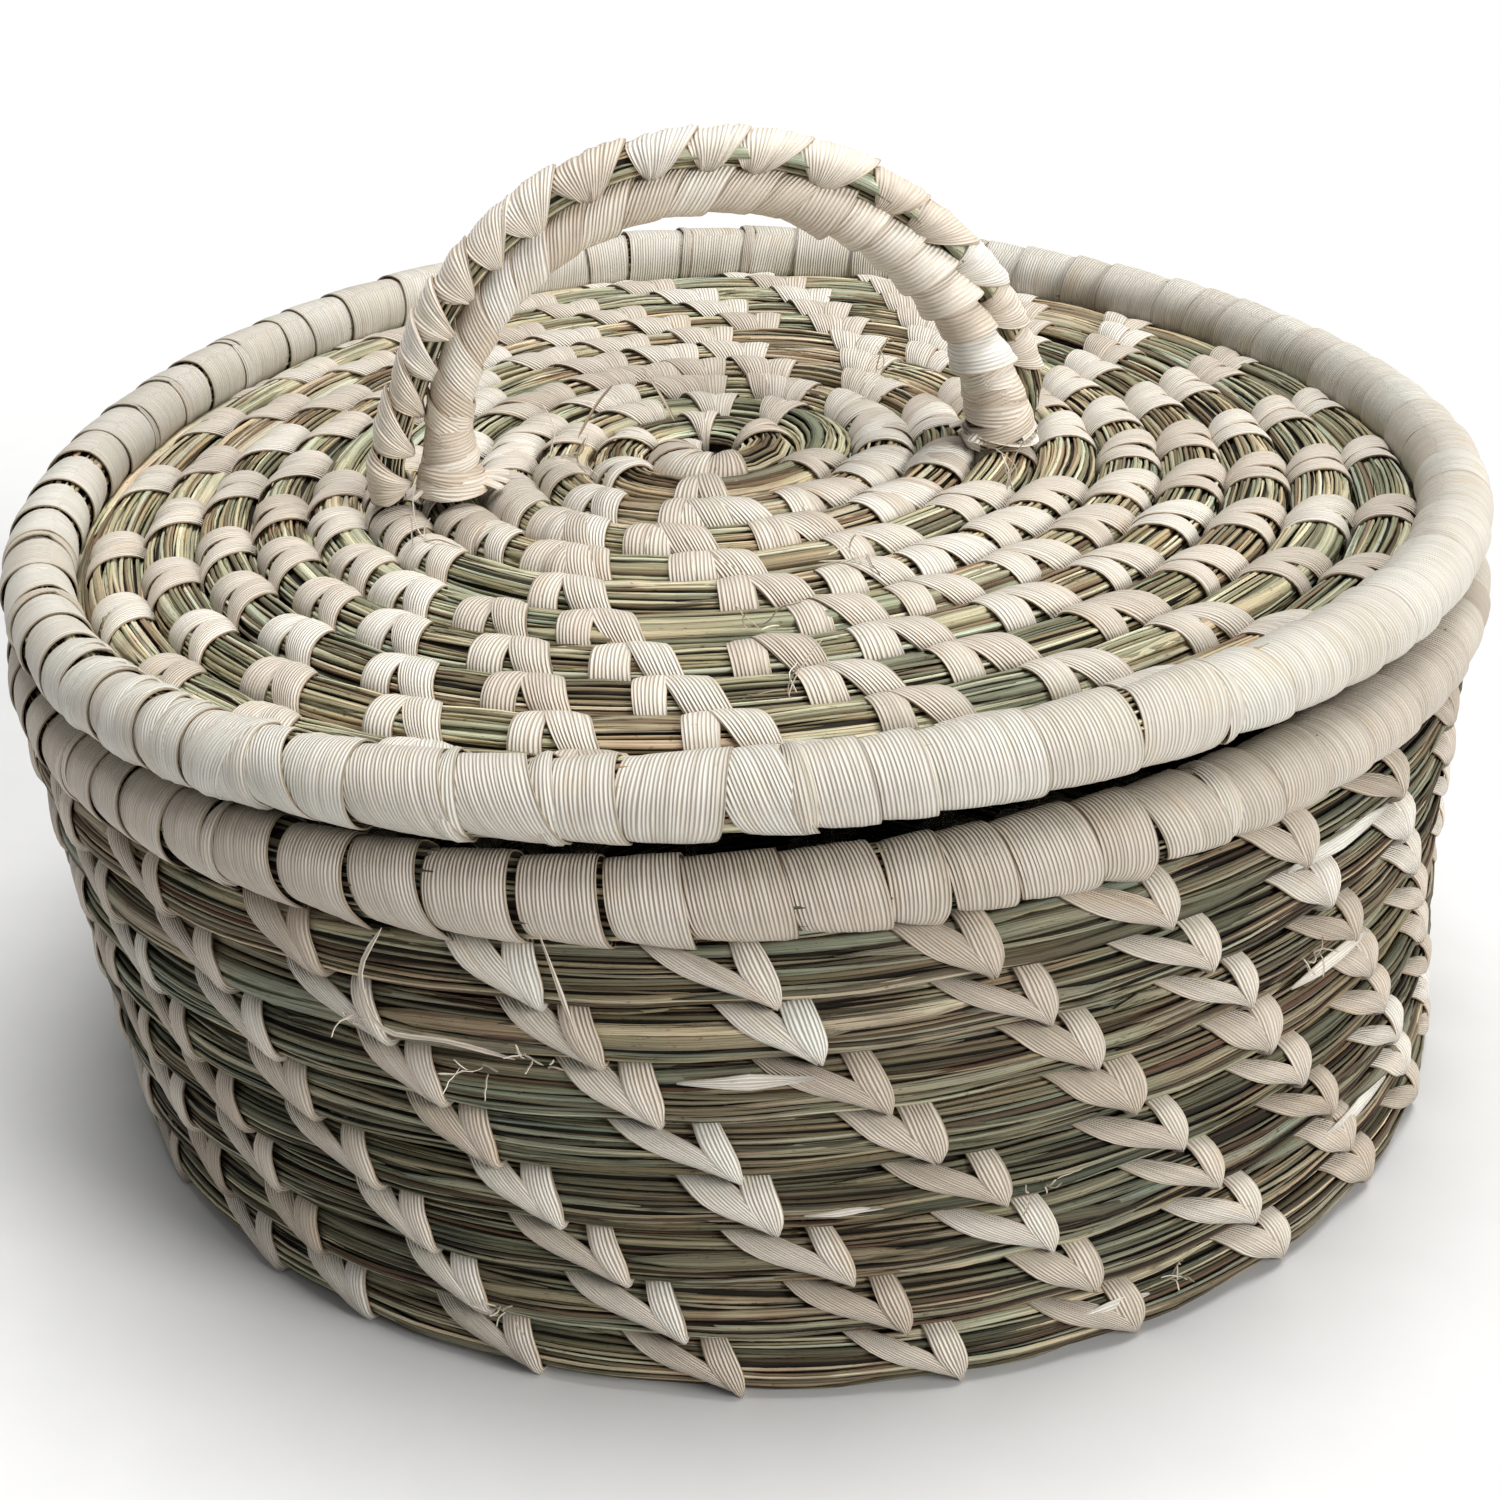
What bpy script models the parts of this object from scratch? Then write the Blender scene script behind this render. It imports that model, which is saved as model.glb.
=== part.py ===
"""Round coiled-grass basket with a lift-off lid and an arched handle.

The base, the wall and the lid are each one long bundle of dry grass wound on
itself and sewn row to row with strips of palm leaf.  Z is up, the basket
stands on z = 0, and the middle of its rim is over the origin.
"""

import math

import bpy

MM = 0.001
TURN = 2.0 * math.pi
GAP = 0.3 * MM                    # clearance between touching pieces
HEX_FLAT = math.cos(TURN / 12.0)  # centre-to-flat share of a hexagon's radius

# Basket wall
WALL_ROWS = 8
WALL_PITCH = 12.25 * MM           # height of one row
WALL_SEGMENTS = 32                # per turn
WALL_OUTER = 142.4 * MM           # outer radius at the foot
WALL_FLARE = 2.0 * MM             # the mouth is wider than the foot by these two
WALL_SWELL = 4.4 * MM
WALL_HEIGHT = WALL_ROWS * WALL_PITCH
STEP_START = math.radians(120.0)  # each row climbs to the next level over this arc
STEP_ARC = math.radians(60.0)
THINNEST = 0.12                   # share of its thickness left at the coil's ends

# The foot sits off the rim's middle, and the wall leans back to it
FOOT_SHIFT = 6.3 * MM
LEAN = -11.6 * MM
LEAN_BACK = 4.7 * MM

# Rims
BODY_RIM_RADIUS = 143.9 * MM
BODY_RIM_TUBE = 7.6 * MM
BODY_RIM_Z = 106.0 * MM
LID_RIM_RADIUS = 142.9 * MM
LID_RIM_TUBE = 7.4 * MM
LID_RIM_Z = 123.0 * MM
RIM_SEGMENTS = 48

# Both rims lean and are a little saddle shaped
BODY_TILT = (0.025, 0.013)
BODY_SADDLE = (-1.37 * MM, -1.63 * MM)
LID_TILT = (0.027, 0.012)
LID_SADDLE = (-2.525 * MM, -2.447 * MM)

# Flat spirals of the base and the lid
DISC_PITCH = 12.0 * MM
DISC_SEGMENTS = 20
DISC_TUBE = DISC_PITCH / 2.0 - GAP / 2.0
SPIRAL_START = 0.3                # turns from the middle to the coil's tip
TIP_TAPER = 0.9                   # the tip is no thicker than this share of its radius
TAIL_TAPER = 0.92                 # share of its thickness lost over the last turn
BASE_EDGE = 127.8 * MM
LID_EDGE = 137.0 * MM
LID_CROWN = 1.9 * MM              # height of the coil's middle over the rim's
LID_DROP = 7.6 * MM               # fall from the crown to the outermost row
LID_DROP_RADIUS = 130.0 * MM
LID_OFF_CENTRE = -7.0 * MM        # the spiral starts left of the rim's middle

# Handle: two coils side by side in an upright plane
HANDLE_TURN = math.radians(8.0)
HANDLE_MID = (-3.0 * MM, -11.0 * MM)
HANDLE_Z = LID_RIM_Z + 6.5 * MM
INNER_ARCH = 56.4 * MM
INNER_TUBE = 3.8 * MM
OUTER_ARCH = 64.0 * MM
OUTER_TUBE = 3.4 * MM
HANDLE_LEAN = 3.0 / 67.0          # the top hangs to the left
ARCH_SEGMENTS = 22
SPLAY_HEIGHT = 26.0 * MM          # the coils part below this height
LEFT_SPLAY = 3.6 * MM
INNER_SPLAY = 1.4 * MM
RIGHT_SPLAY = 2.0 * MM
RIGHT_SET_BACK = 16.0 * MM
FOOT_CLEARANCE = 3.3 * MM         # room for the sewing under the feet

# Binding wound around the foot of the inner handle coil
LASHING_WIRE = 1.0 * MM
LASHING_TURNS = 4
LASHING_PITCH = 2.6 * MM
LASHING_SEGMENTS = 10
LASHING_FLARE = 1.4 * MM
LASHING_EASE = 0.3 * MM           # slack all the way up

# Sewing: bands of palm leaf from row to row
STITCH_WIDTH = 13.0 * MM
STITCH_THICK = 0.8 * MM
WALL_STITCH_LIFT = 0.8 * MM       # clearance over the coil crests
LID_STITCH_LIFT = 1.0 * MM
WALL_COLUMNS = 26
COLUMN_TOP = 2.0 * MM             # the bands stop short of the rim and the ground
COLUMN_FOOT = 3.0 * MM
WALL_COLUMN_START = math.radians(-146.0)
WALL_SLANT = math.radians(28.8)   # drift of a column from rim to foot
LID_ARMS = 25
LID_ARM_START = math.radians(-140.0)
LID_SWIRL = 8.5 / 12.0            # tangent of the arms' lean from the radius
CROSSING_ROUNDS = 6               # refinements of where an arm meets a row
LID_LONG_ROWS = 7                 # rows crossed by the arms that reach inwards
LID_SHORT_ROWS = (5, 4, 3)        # the arms between them start further out


def clear_scene():
    for item in list(bpy.data.objects):
        bpy.data.objects.remove(item, do_unlink=True)
    for group in list(bpy.data.collections):
        bpy.data.collections.remove(group)


def make_material(name, colour, roughness):
    material = bpy.data.materials.new(name)
    material.use_nodes = True
    shader = material.node_tree.nodes["Principled BSDF"]
    shader.inputs["Base Color"].default_value = (*colour, 1.0)
    shader.inputs["Roughness"].default_value = roughness
    shader.inputs["Metallic"].default_value = 0.0
    return material


def smoothstep(value):
    value = min(max(value, 0.0), 1.0)
    return value * value * (3.0 - 2.0 * value)


def saddle(pair, angle):
    return pair[0] * math.cos(2.0 * angle) + pair[1] * math.sin(2.0 * angle)


def leaning(pair, x, y):
    return pair[0] * x + pair[1] * y


def body_lift(angle):
    """Height of the basket's rim over its mean level at an angle."""
    x = BODY_RIM_RADIUS * math.cos(angle)
    y = BODY_RIM_RADIUS * math.sin(angle)
    return leaning(BODY_TILT, x, y) + saddle(BODY_SADDLE, angle)


def body_stretch(angle):
    """Share by which the rows are thicker where the rim stands high."""
    return 1.0 + body_lift(angle) / WALL_HEIGHT


def foot_shift(z):
    share = z / WALL_HEIGHT
    return FOOT_SHIFT + share * (LEAN + share * LEAN_BACK)


def wall_radius(z):
    """Radius of the coil crests at height z."""
    share = z / WALL_HEIGHT
    return WALL_OUTER + share * (WALL_FLARE + share * WALL_SWELL)


def wall_point(radius, angle, z):
    x = foot_shift(z) + radius * math.cos(angle)
    y = radius * math.sin(angle)
    return (x, y, z * body_stretch(angle))


def lid_place(radius, angle):
    """Plan position of a point of the lid, given around its own spiral."""
    share = min(radius / LID_RIM_RADIUS, 1.0)
    x = LID_OFF_CENTRE * (1.0 - share * share) + radius * math.cos(angle)
    return x, radius * math.sin(angle)


def lid_level(x, y):
    """Height of the middle of the lid's coil over a plan position."""
    radius = math.hypot(x, y)
    angle = math.atan2(y, x)
    share = radius / LID_RIM_RADIUS
    dome = LID_CROWN - LID_DROP * (radius / LID_DROP_RADIUS) ** 2
    warp = leaning(LID_TILT, x, y) + share * share * saddle(LID_SADDLE, angle)
    return LID_RIM_Z + dome + warp


def lid_top(x, y):
    return lid_level(x, y) + DISC_TUBE * HEX_FLAT


def add_object(name, data, material, collection, smooth=True):
    item = bpy.data.objects.new(name, data)
    collection.objects.link(item)
    data.materials.append(material)
    if smooth and isinstance(data, bpy.types.Mesh):
        data.shade_smooth()
    return item


def add_coil(name, points, radii, tube, material, collection, sides=6, closed=False):
    """A round bundle along a path; radii holds its share of tube at each point."""
    curve = bpy.data.curves.new(name, "CURVE")
    curve.dimensions = "3D"
    curve.bevel_depth = tube
    curve.bevel_resolution = (sides - 4) // 2
    curve.use_fill_caps = not closed
    curve.twist_mode = "Z_UP"
    spline = curve.splines.new("POLY")
    spline.points.add(len(points) - 1)
    for knot, place, share in zip(spline.points, points, radii):
        knot.co = (*place, 1.0)
        knot.radius = share
    spline.use_cyclic_u = closed
    return add_object(name, curve, material, collection)


def add_band(name, left, right, material, collection):
    """A leaf strip between two edge lines, thickened away from the coils."""
    count = len(left)
    points = list(left) + list(right)
    faces = []
    for row in range(count - 1):
        faces.append((row, row + 1, count + row + 1, count + row))
    mesh = bpy.data.meshes.new(name)
    mesh.from_pydata(points, [], faces)
    mesh.update()
    item = add_object(name, mesh, material, collection, smooth=False)
    solid = item.modifiers.new("leaf thickness", "SOLIDIFY")
    solid.thickness = STITCH_THICK
    solid.offset = 1.0
    solid.use_even_offset = False
    return item


def hang_on(frame, items):
    """Make pieces ride on a frame without moving them."""
    for item in items:
        item.parent = frame
        item.location = -frame.location


def disc_spiral(edge, place):
    """Points and radius shares of a flat spiral that ends in a long taper."""
    full_turns = (edge - DISC_TUBE) / DISC_PITCH
    first = round(SPIRAL_START * DISC_SEGMENTS)
    last = round((full_turns + 1.0) * DISC_SEGMENTS) - 1
    points = []
    shares = []
    for step in range(first, last + 1):
        turns = step / DISC_SEGMENTS
        radius = DISC_PITCH * turns
        share = min(1.0, TIP_TAPER * radius / DISC_TUBE)
        over = turns - full_turns
        if over > 0.0:
            share = 1.0 - TAIL_TAPER * over
            radius = edge - DISC_TUBE * share
        point, room = place(radius, TURN * turns, share)
        points.append(point)
        shares.append(share * room)
    return points, shares


def base_place(radius, angle, share):
    """A point of the base's spiral, which is wound clockwise seen from above."""
    x = FOOT_SHIFT + radius * math.cos(-angle)
    y = radius * math.sin(-angle)
    return (x, y, DISC_TUBE * HEX_FLAT * share), 1.0


def lid_spiral_place(radius, angle, share):
    """A point of the lid's spiral, and the share of a row's width it has there."""
    x, y = lid_place(radius, angle)
    spread = 2.0 * LID_OFF_CENTRE * radius / LID_RIM_RADIUS ** 2
    room = min(1.0, 1.0 - spread * math.cos(angle))
    return (x, y, lid_level(x, y)), room


def wall_coil_points():
    """A coil of level rows, each climbing one pitch over a short arc at the back."""
    points = []
    shares = []
    tube = WALL_PITCH / 2.0
    steps_up = round(STEP_ARC / TURN * WALL_SEGMENTS)
    for step in range(1, WALL_ROWS * WALL_SEGMENTS + steps_up):
        row = step // WALL_SEGMENTS
        along = step % WALL_SEGMENTS
        climb = smoothstep(along / steps_up)
        angle = STEP_START - TURN * step / WALL_SEGMENTS
        share = 1.0
        if row == 0:
            share = climb
            z = tube * share
        elif row == WALL_ROWS:
            share = 1.0 - climb
            z = WALL_HEIGHT - tube * share
        else:
            z = tube + WALL_PITCH * (row - 1.0 + climb)
        full = (WALL_PITCH - GAP) / 2.0 / HEX_FLAT
        points.append(wall_point(wall_radius(z) - full, angle, z))
        shares.append(max(share, THINNEST) * body_stretch(angle))
    return points, shares, full


def rim_points(radius, z, tilt, pair):
    points = []
    for step in range(RIM_SEGMENTS):
        angle = TURN * step / RIM_SEGMENTS
        x = radius * math.cos(angle)
        y = radius * math.sin(angle)
        points.append((x, y, z + leaning(tilt, x, y) + saddle(pair, angle)))
    return points


def handle_point(across, behind, z):
    """A point given along, behind and above the handle's upright plane."""
    cosine = math.cos(HANDLE_TURN)
    sine = math.sin(HANDLE_TURN)
    x = HANDLE_MID[0] + across * cosine - behind * sine
    y = HANDLE_MID[1] + across * sine + behind * cosine
    return (x, y, z)


def leg_offset(outer, right, height):
    """Sideways and backward drift of a leg as it comes down to the lid."""
    low = smoothstep(1.0 - height / SPLAY_HEIGHT)
    if right:
        if not outer:
            return 0.0, 0.0
        set_back = smoothstep(1.0 - height / (2.0 * SPLAY_HEIGHT))
        return RIGHT_SPLAY * low, RIGHT_SET_BACK * set_back
    if outer:
        return -LEFT_SPLAY * low, 0.0
    return INNER_SPLAY * low, 0.0


def handle_path(arch, outer):
    """Centre line from the left foot over the arch to the right foot."""
    middle = []
    for step in range(ARCH_SEGMENTS + 1):
        turn = math.pi * (1.0 - step / ARCH_SEGMENTS)
        height = arch * math.sin(turn)
        across = arch * math.cos(turn) - HANDLE_LEAN * height
        side, behind = leg_offset(outer, step > ARCH_SEGMENTS / 2, height)
        middle.append(handle_point(across + side, behind, HANDLE_Z + height))
    feet = []
    for end in (middle[0], middle[-1]):
        feet.append((end[0], end[1], lid_top(end[0], end[1]) + FOOT_CLEARANCE))
    points = list(middle)
    points[0] = feet[0]
    points[-1] = feet[1]
    return points


def lashing_points(foot, knee):
    """A strip wound around the leg that rises from foot towards knee."""
    room = INNER_TUBE + GAP + LASHING_WIRE
    rise = knee[2] - foot[2]
    steps = LASHING_TURNS * LASHING_SEGMENTS
    points = []
    for step in range(steps + 1):
        height = LASHING_WIRE + LASHING_PITCH * step / LASHING_SEGMENTS
        share = height / rise
        flare = LASHING_FLARE * (1.0 - step / steps) + LASHING_EASE
        angle = TURN * step / LASHING_SEGMENTS
        x = foot[0] + share * (knee[0] - foot[0]) + (room + flare) * math.cos(angle)
        y = foot[1] + share * (knee[1] - foot[1]) + (room + flare) * math.sin(angle)
        points.append((x, y, foot[2] + height))
    return points


def wall_stitch_edges(column):
    """Edges of one slanting column of sewing, one point per row."""
    start = WALL_COLUMN_START + TURN * column / WALL_COLUMNS
    left = []
    right = []
    levels = [WALL_HEIGHT - COLUMN_TOP]
    for row in reversed(range(1, WALL_ROWS - 1)):
        levels.append(WALL_PITCH * (row + 0.5))
    levels.append(COLUMN_FOOT)
    for z in levels:
        radius = wall_radius(z) + WALL_STITCH_LIFT
        angle = start + WALL_SLANT * (1.0 - z / WALL_HEIGHT)
        half = STITCH_WIDTH / 2.0 / radius
        left.append(wall_point(radius, angle - half, z))
        right.append(wall_point(radius, angle + half, z))
    return left, right


def lid_crossing(angle, row):
    """Turns along the lid's spiral at which a leaning arm crosses a row."""
    turns = row + angle / TURN
    for _ in range(CROSSING_ROUNDS):
        lean = LID_SWIRL * math.log(DISC_PITCH * turns / LID_EDGE)
        turns = row + (angle + lean) / TURN
    return turns


def lid_stitch_edges(arm):
    """Edges of one arm of sewing over the lid's rows, from the rim inwards."""
    rows = LID_LONG_ROWS
    if arm % 2 or arm == LID_ARMS - 1:
        rows = LID_SHORT_ROWS[(arm // 2) % len(LID_SHORT_ROWS)]
    angle = LID_ARM_START + TURN * arm / LID_ARMS
    full_turns = (LID_EDGE - DISC_TUBE) / DISC_PITCH
    outermost = math.floor(full_turns - angle / TURN)
    left = []
    right = []
    for row in range(rows + 1):
        turns = lid_crossing(angle, outermost - row)
        radius = DISC_PITCH * turns
        half = STITCH_WIDTH / 2.0 / radius
        for edge, sign in ((left, -1.0), (right, 1.0)):
            x, y = lid_place(radius, TURN * turns + sign * half)
            edge.append((x, y, lid_top(x, y) + LID_STITCH_LIFT))
    return left, right


def build():
    clear_scene()
    basket = bpy.data.collections.new("coiled_basket")
    bpy.context.scene.collection.children.link(basket)
    grass = make_material("dry_grass", (0.25, 0.24, 0.14), 0.75)
    leaf = make_material("palm_leaf", (0.72, 0.62, 0.45), 0.6)
    rim_leaf = make_material("rim_leaf", (0.76, 0.67, 0.48), 0.55)

    points, shares = disc_spiral(BASE_EDGE, base_place)
    add_coil("base_coil", points, shares, DISC_TUBE, grass, basket)
    points, shares, tube = wall_coil_points()
    add_coil("wall_coil", points, shares, tube, grass, basket)
    whole = [1.0] * RIM_SEGMENTS
    points = rim_points(BODY_RIM_RADIUS, BODY_RIM_Z, BODY_TILT, BODY_SADDLE)
    add_coil("body_rim", points, whole, BODY_RIM_TUBE, rim_leaf, basket, 8, True)
    for column in range(WALL_COLUMNS):
        left, right = wall_stitch_edges(column)
        add_band(f"wall_stitch_{column + 1:02d}", left, right, leaf, basket)

    lid_frame = bpy.data.objects.new("lid_lift", None)
    lid_frame.location = (0.0, 0.0, LID_RIM_Z)
    basket.objects.link(lid_frame)
    lid = []
    points, shares = disc_spiral(LID_EDGE, lid_spiral_place)
    lid.append(add_coil("lid_coil", points, shares, DISC_TUBE, grass, basket))
    points = rim_points(LID_RIM_RADIUS, LID_RIM_Z, LID_TILT, LID_SADDLE)
    lid.append(add_coil("lid_rim", points, whole, LID_RIM_TUBE, rim_leaf, basket, 8, True))

    inner = handle_path(INNER_ARCH, False)
    outer = handle_path(OUTER_ARCH, True)
    whole = [1.0] * len(inner)
    lid.append(add_coil("handle_inner_coil", inner, whole, INNER_TUBE, leaf, basket, 8))
    lid.append(add_coil("handle_outer_coil", outer, whole, OUTER_TUBE, leaf, basket, 8))
    whole = [1.0] * (LASHING_TURNS * LASHING_SEGMENTS + 1)
    for side, foot, knee in (("left", 0, 2), ("right", -1, -3)):
        points = lashing_points(inner[foot], inner[knee])
        name = f"handle_lashing_{side}"
        lid.append(add_coil(name, points, whole, LASHING_WIRE, leaf, basket))
    for arm in range(LID_ARMS):
        left, right = lid_stitch_edges(arm)
        lid.append(add_band(f"lid_stitch_{arm + 1:02d}", right, left, leaf, basket))
    hang_on(lid_frame, lid)


build()
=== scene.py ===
"""Looks of the round coiled-grass basket with its lift-off lid and arched handle.

Every coil is a bundle of separate grass blades round a core painted dark as
the shade among them, and every stitch and wrapping is a strip of palm leaf laid
round its coil.  Lengths are in millimetres until a mesh is made; the shapes
repeat the CAD model's paths.
"""

import math

import bpy
import numpy as np
from mathutils import Matrix, Vector


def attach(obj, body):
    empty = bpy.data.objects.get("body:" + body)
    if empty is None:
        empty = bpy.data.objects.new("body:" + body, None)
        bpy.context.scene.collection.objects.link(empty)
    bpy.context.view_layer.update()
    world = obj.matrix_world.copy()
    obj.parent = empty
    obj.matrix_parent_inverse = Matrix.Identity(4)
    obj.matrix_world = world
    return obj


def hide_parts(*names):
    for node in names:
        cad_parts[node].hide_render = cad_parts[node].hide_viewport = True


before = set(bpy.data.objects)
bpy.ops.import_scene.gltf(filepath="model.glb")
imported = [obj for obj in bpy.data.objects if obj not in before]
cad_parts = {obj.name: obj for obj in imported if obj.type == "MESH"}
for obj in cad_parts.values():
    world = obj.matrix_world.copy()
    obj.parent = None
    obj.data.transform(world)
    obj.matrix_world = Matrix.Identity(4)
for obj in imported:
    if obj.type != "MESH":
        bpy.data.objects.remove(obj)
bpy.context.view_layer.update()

MM = 0.001
TURN = 2.0 * math.pi
RNG = np.random.default_rng(41)

# Wall, rims, lid and base, as in the CAD model
WALL_ROWS = 8
WALL_PITCH = 12.25
WALL_OUTER = 142.4
WALL_FLARE = 2.0
WALL_SWELL = 4.4
WALL_HEIGHT = WALL_ROWS * WALL_PITCH
STEP_START = math.radians(120.0)
STEP_SHARE = 60.0 / 360.0
FOOT_SHIFT = 6.3
LEAN = -11.6
LEAN_BACK = 4.7
BODY_RIM = (143.9, 106.0)
LID_RIM = (142.9, 123.0)
BODY_TILT = (0.025, 0.013)
BODY_SADDLE = (-1.37, -1.63)
LID_TILT = (0.027, 0.012)
LID_SADDLE = (-2.525, -2.447)
DISC_PITCH = 12.0
DISC_TUBE = 5.85
BASE_EDGE = 127.8
LID_EDGE = 137.0
LID_CROWN = 1.9
LID_DROP = 7.6
LID_DROP_RADIUS = 130.0
LID_OFF_CENTRE = -7.0

# Coil sections: half width, half height and squareness, where 2 is an ellipse
WALL_SECTION = (6.3, 6.05, 2.5)
BASE_SECTION = (5.9, 4.9, 2.2)
LID_SECTION = (5.9, 5.2, 2.2)
WALL_INSET = 6.5        # from the outside of the wall to the middle of its coil
BASE_MIDDLE = 5.5       # height of the middle of the base's coil
BODY_RIM_TUBE = 6.45
LID_RIM_TUBE = 6.35
INNER_TUBE = 3.75
OUTER_TUBE = 3.45

# How finely the paths are drawn
WALL_STEPS = 150        # points in one row of the wall
DISC_START = 0.3        # turns at which a flat spiral begins
DISC_STEP = (0.035, 3.5)        # most turns and most length from one point to the next
RIM_POINTS = 240
HANDLE_POINTS = 91

# Handle
HANDLE_TURN = math.radians(8.0)
HANDLE_MID = (-3.0, -11.0)
HANDLE_Z = 129.5
INNER_ARCH = 56.4
OUTER_ARCH = 64.0
HANDLE_LEAN = 3.0 / 67.0
SPLAY_HEIGHT = 26.0
LEFT_SPLAY = 3.6
INNER_SPLAY = 1.4
RIGHT_SPLAY = 2.0
RIGHT_SET_BACK = 16.0

# Sewing
WALL_COLUMNS = 26
WALL_FIRST = -147.6     # degrees of the first column
WALL_LEAN = math.radians(3.6)   # a column moves on by this from row to row
LID_ARMS = 25
LID_ARM_START = math.radians(-140.0)
LID_SWIRL = 8.5 / 12.0
LID_LONG_ROWS = 7
LID_SHORT_ROWS = (5, 4, 3)
LEAF_THICK = 0.28
LEAF_SHARP = 50.0       # degrees between faces above which a leaf's edge is sharp
HAIR_WIDTH = 0.28
DARKEST_LEAF = 0.1      # tints below this one are kept for the painted shade along the edges of a strip
EDGE_COLUMN = 0.91      # where that edge starts, as a share of the strip's half width
PRESSED_IN = 0.45       # how deep a stitch pulls its coil in
WRAPPED_IN = 0.35       # how deep a coil is held all along under its wraps
WALL_PULL = -12.0       # along the coil from a wall stitch's corner to where it pulls
LID_PULL = 6.0          # along the coil from a lid stitch's place to where it pulls
GROOVE_WALL = math.pi * 0.53    # angle round the coil at which a wall stitch comes out
GROOVE_LID = math.pi * 1.03     # the same for a stitch of the lid
GROOVE_RIM = math.pi * 0.62     # the same for a wrap of a rim
NARROWEST_WRAP = 9.0
RIM_PIECES = 4
LID_SPLICE = (208.0, 236.0)     # degrees round the lid's rim that are ragged
BODY_GAPS = (160.0, 265.0)      # degrees round the basket's rim with more gaps

# Packed inside of a bundle
CORE_STEP = 7.0
CORE_SIDES = 12
CORE_ROUGH = 0.12
COIL_SHRINK = 0.9       # from a coil's skin in to its core
HANDLE_SHRINK = 0.7

# Stage in metres, and a camera fitted to the photo with its angles in radians
FLOOR_HALF = 12.0
SKY = ((0.97, 0.985, 1.0, 1.0), 0.22)   # colour and strength
SUNS = {
    # name: (direction from the basket, strength, width in the sky in degrees, colour)
    "overhead": ((0.1, 0.12, 1.0), 3.25, 40.0, (1.0, 0.995, 0.985)),
    "front_right": ((1.5, -0.95, 0.65), 2.6, 25.0, (1.0, 0.985, 0.955)),
}
CAMERA_PLACE = (0.00843, -0.51483, 0.3204)
CAMERA_PITCH = 0.470
CAMERA_YAW = -0.016
CAMERA_ROLL = -0.026
CAMERA_LENS = 63.68


def draw(low, high, size=None):
    return RNG.uniform(low, high, size)


def near(spread, size=None):
    """Random numbers round 0."""
    return RNG.normal(0.0, spread, size)


def smoothstep(value):
    """A soft step from 0 to 1."""
    value = np.clip(value, 0.0, 1.0)
    return value * value * (3.0 - 2.0 * value)


def unit(vectors):
    return vectors / np.maximum(np.linalg.norm(vectors, axis=-1, keepdims=True), 1e-9)


def outward(angle):
    """Level unit vectors that point away from the basket's axis."""
    return np.stack([np.cos(angle), np.sin(angle), 0.0 * angle], axis=-1)


def saddle(pair, angle):
    """Height of a rim's saddle-shaped warp at an angle."""
    return pair[0] * np.cos(2.0 * angle) + pair[1] * np.sin(2.0 * angle)


def leaning(pair, x, y):
    """Height of a rim's tilt over a plan position."""
    return pair[0] * x + pair[1] * y


def body_stretch(angle):
    """Share by which the rows are thicker where the basket's rim stands high."""
    x = BODY_RIM[0] * np.cos(angle)
    y = BODY_RIM[0] * np.sin(angle)
    return 1.0 + (leaning(BODY_TILT, x, y) + saddle(BODY_SADDLE, angle)) / WALL_HEIGHT


def wall_radius(z):
    share = z / WALL_HEIGHT
    return WALL_OUTER + share * (WALL_FLARE + share * WALL_SWELL)


def wall_point(radius, angle, z):
    """A point of the wall, which leans over its foot and follows the rim's warp."""
    share = z / WALL_HEIGHT
    shift = FOOT_SHIFT + share * (LEAN + share * LEAN_BACK)
    x = shift + radius * np.cos(angle)
    return np.stack([x, radius * np.sin(angle), z * body_stretch(angle)], axis=-1)


def lid_level(x, y):
    """Height of the middle of the lid's coil over a plan position."""
    radius = np.hypot(x, y)
    share = radius / LID_RIM[0]
    dome = LID_CROWN - LID_DROP * (radius / LID_DROP_RADIUS) ** 2
    warp = leaning(LID_TILT, x, y) + share * share * saddle(LID_SADDLE, np.arctan2(y, x))
    return LID_RIM[1] + dome + warp


# ---------------------------------------------------------------- paths

def make_path(centre, side, wide, high, turns, square=2.0, closed=False):
    """A coil's centre line with its section: side and up axes and half sizes."""
    if closed:
        rows = (centre, side, wide, high)
        centre, side, wide, high = (np.concatenate([row, row[:1]]) for row in rows)
        turns = np.append(turns, turns[0] + 1.0)
    steps = np.linalg.norm(np.diff(centre, axis=0), axis=1)
    length = np.concatenate([[0.0], np.cumsum(steps)])
    if closed:
        ring = centre[:-1]
        ahead = np.roll(ring, -1, axis=0) - np.roll(ring, 1, axis=0)
        ahead = np.vstack([ahead, ahead[:1]])
    else:
        ahead = np.gradient(centre, axis=0)
    ahead = unit(ahead)
    side = unit(side - ahead * np.sum(side * ahead, axis=1, keepdims=True))
    up = np.cross(ahead, side)
    if np.mean(up[:, 2]) < 0.0:
        up = -up
    columns = np.hstack([centre, side, up, ahead, wide[:, None], high[:, None]])
    return {"s": length, "columns": columns, "turns": turns, "square": square,
            "closed": closed, "length": length[-1]}


def look_up(path, s):
    """Centre, side, up, ahead, half width and half height at places along a coil."""
    if path["closed"]:
        s = np.mod(s, path["length"])
    flat = np.ravel(s)
    found = np.stack([np.interp(flat, path["s"], column) for column in path["columns"].T], 1)
    return found.reshape(*np.shape(s), -1)


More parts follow.
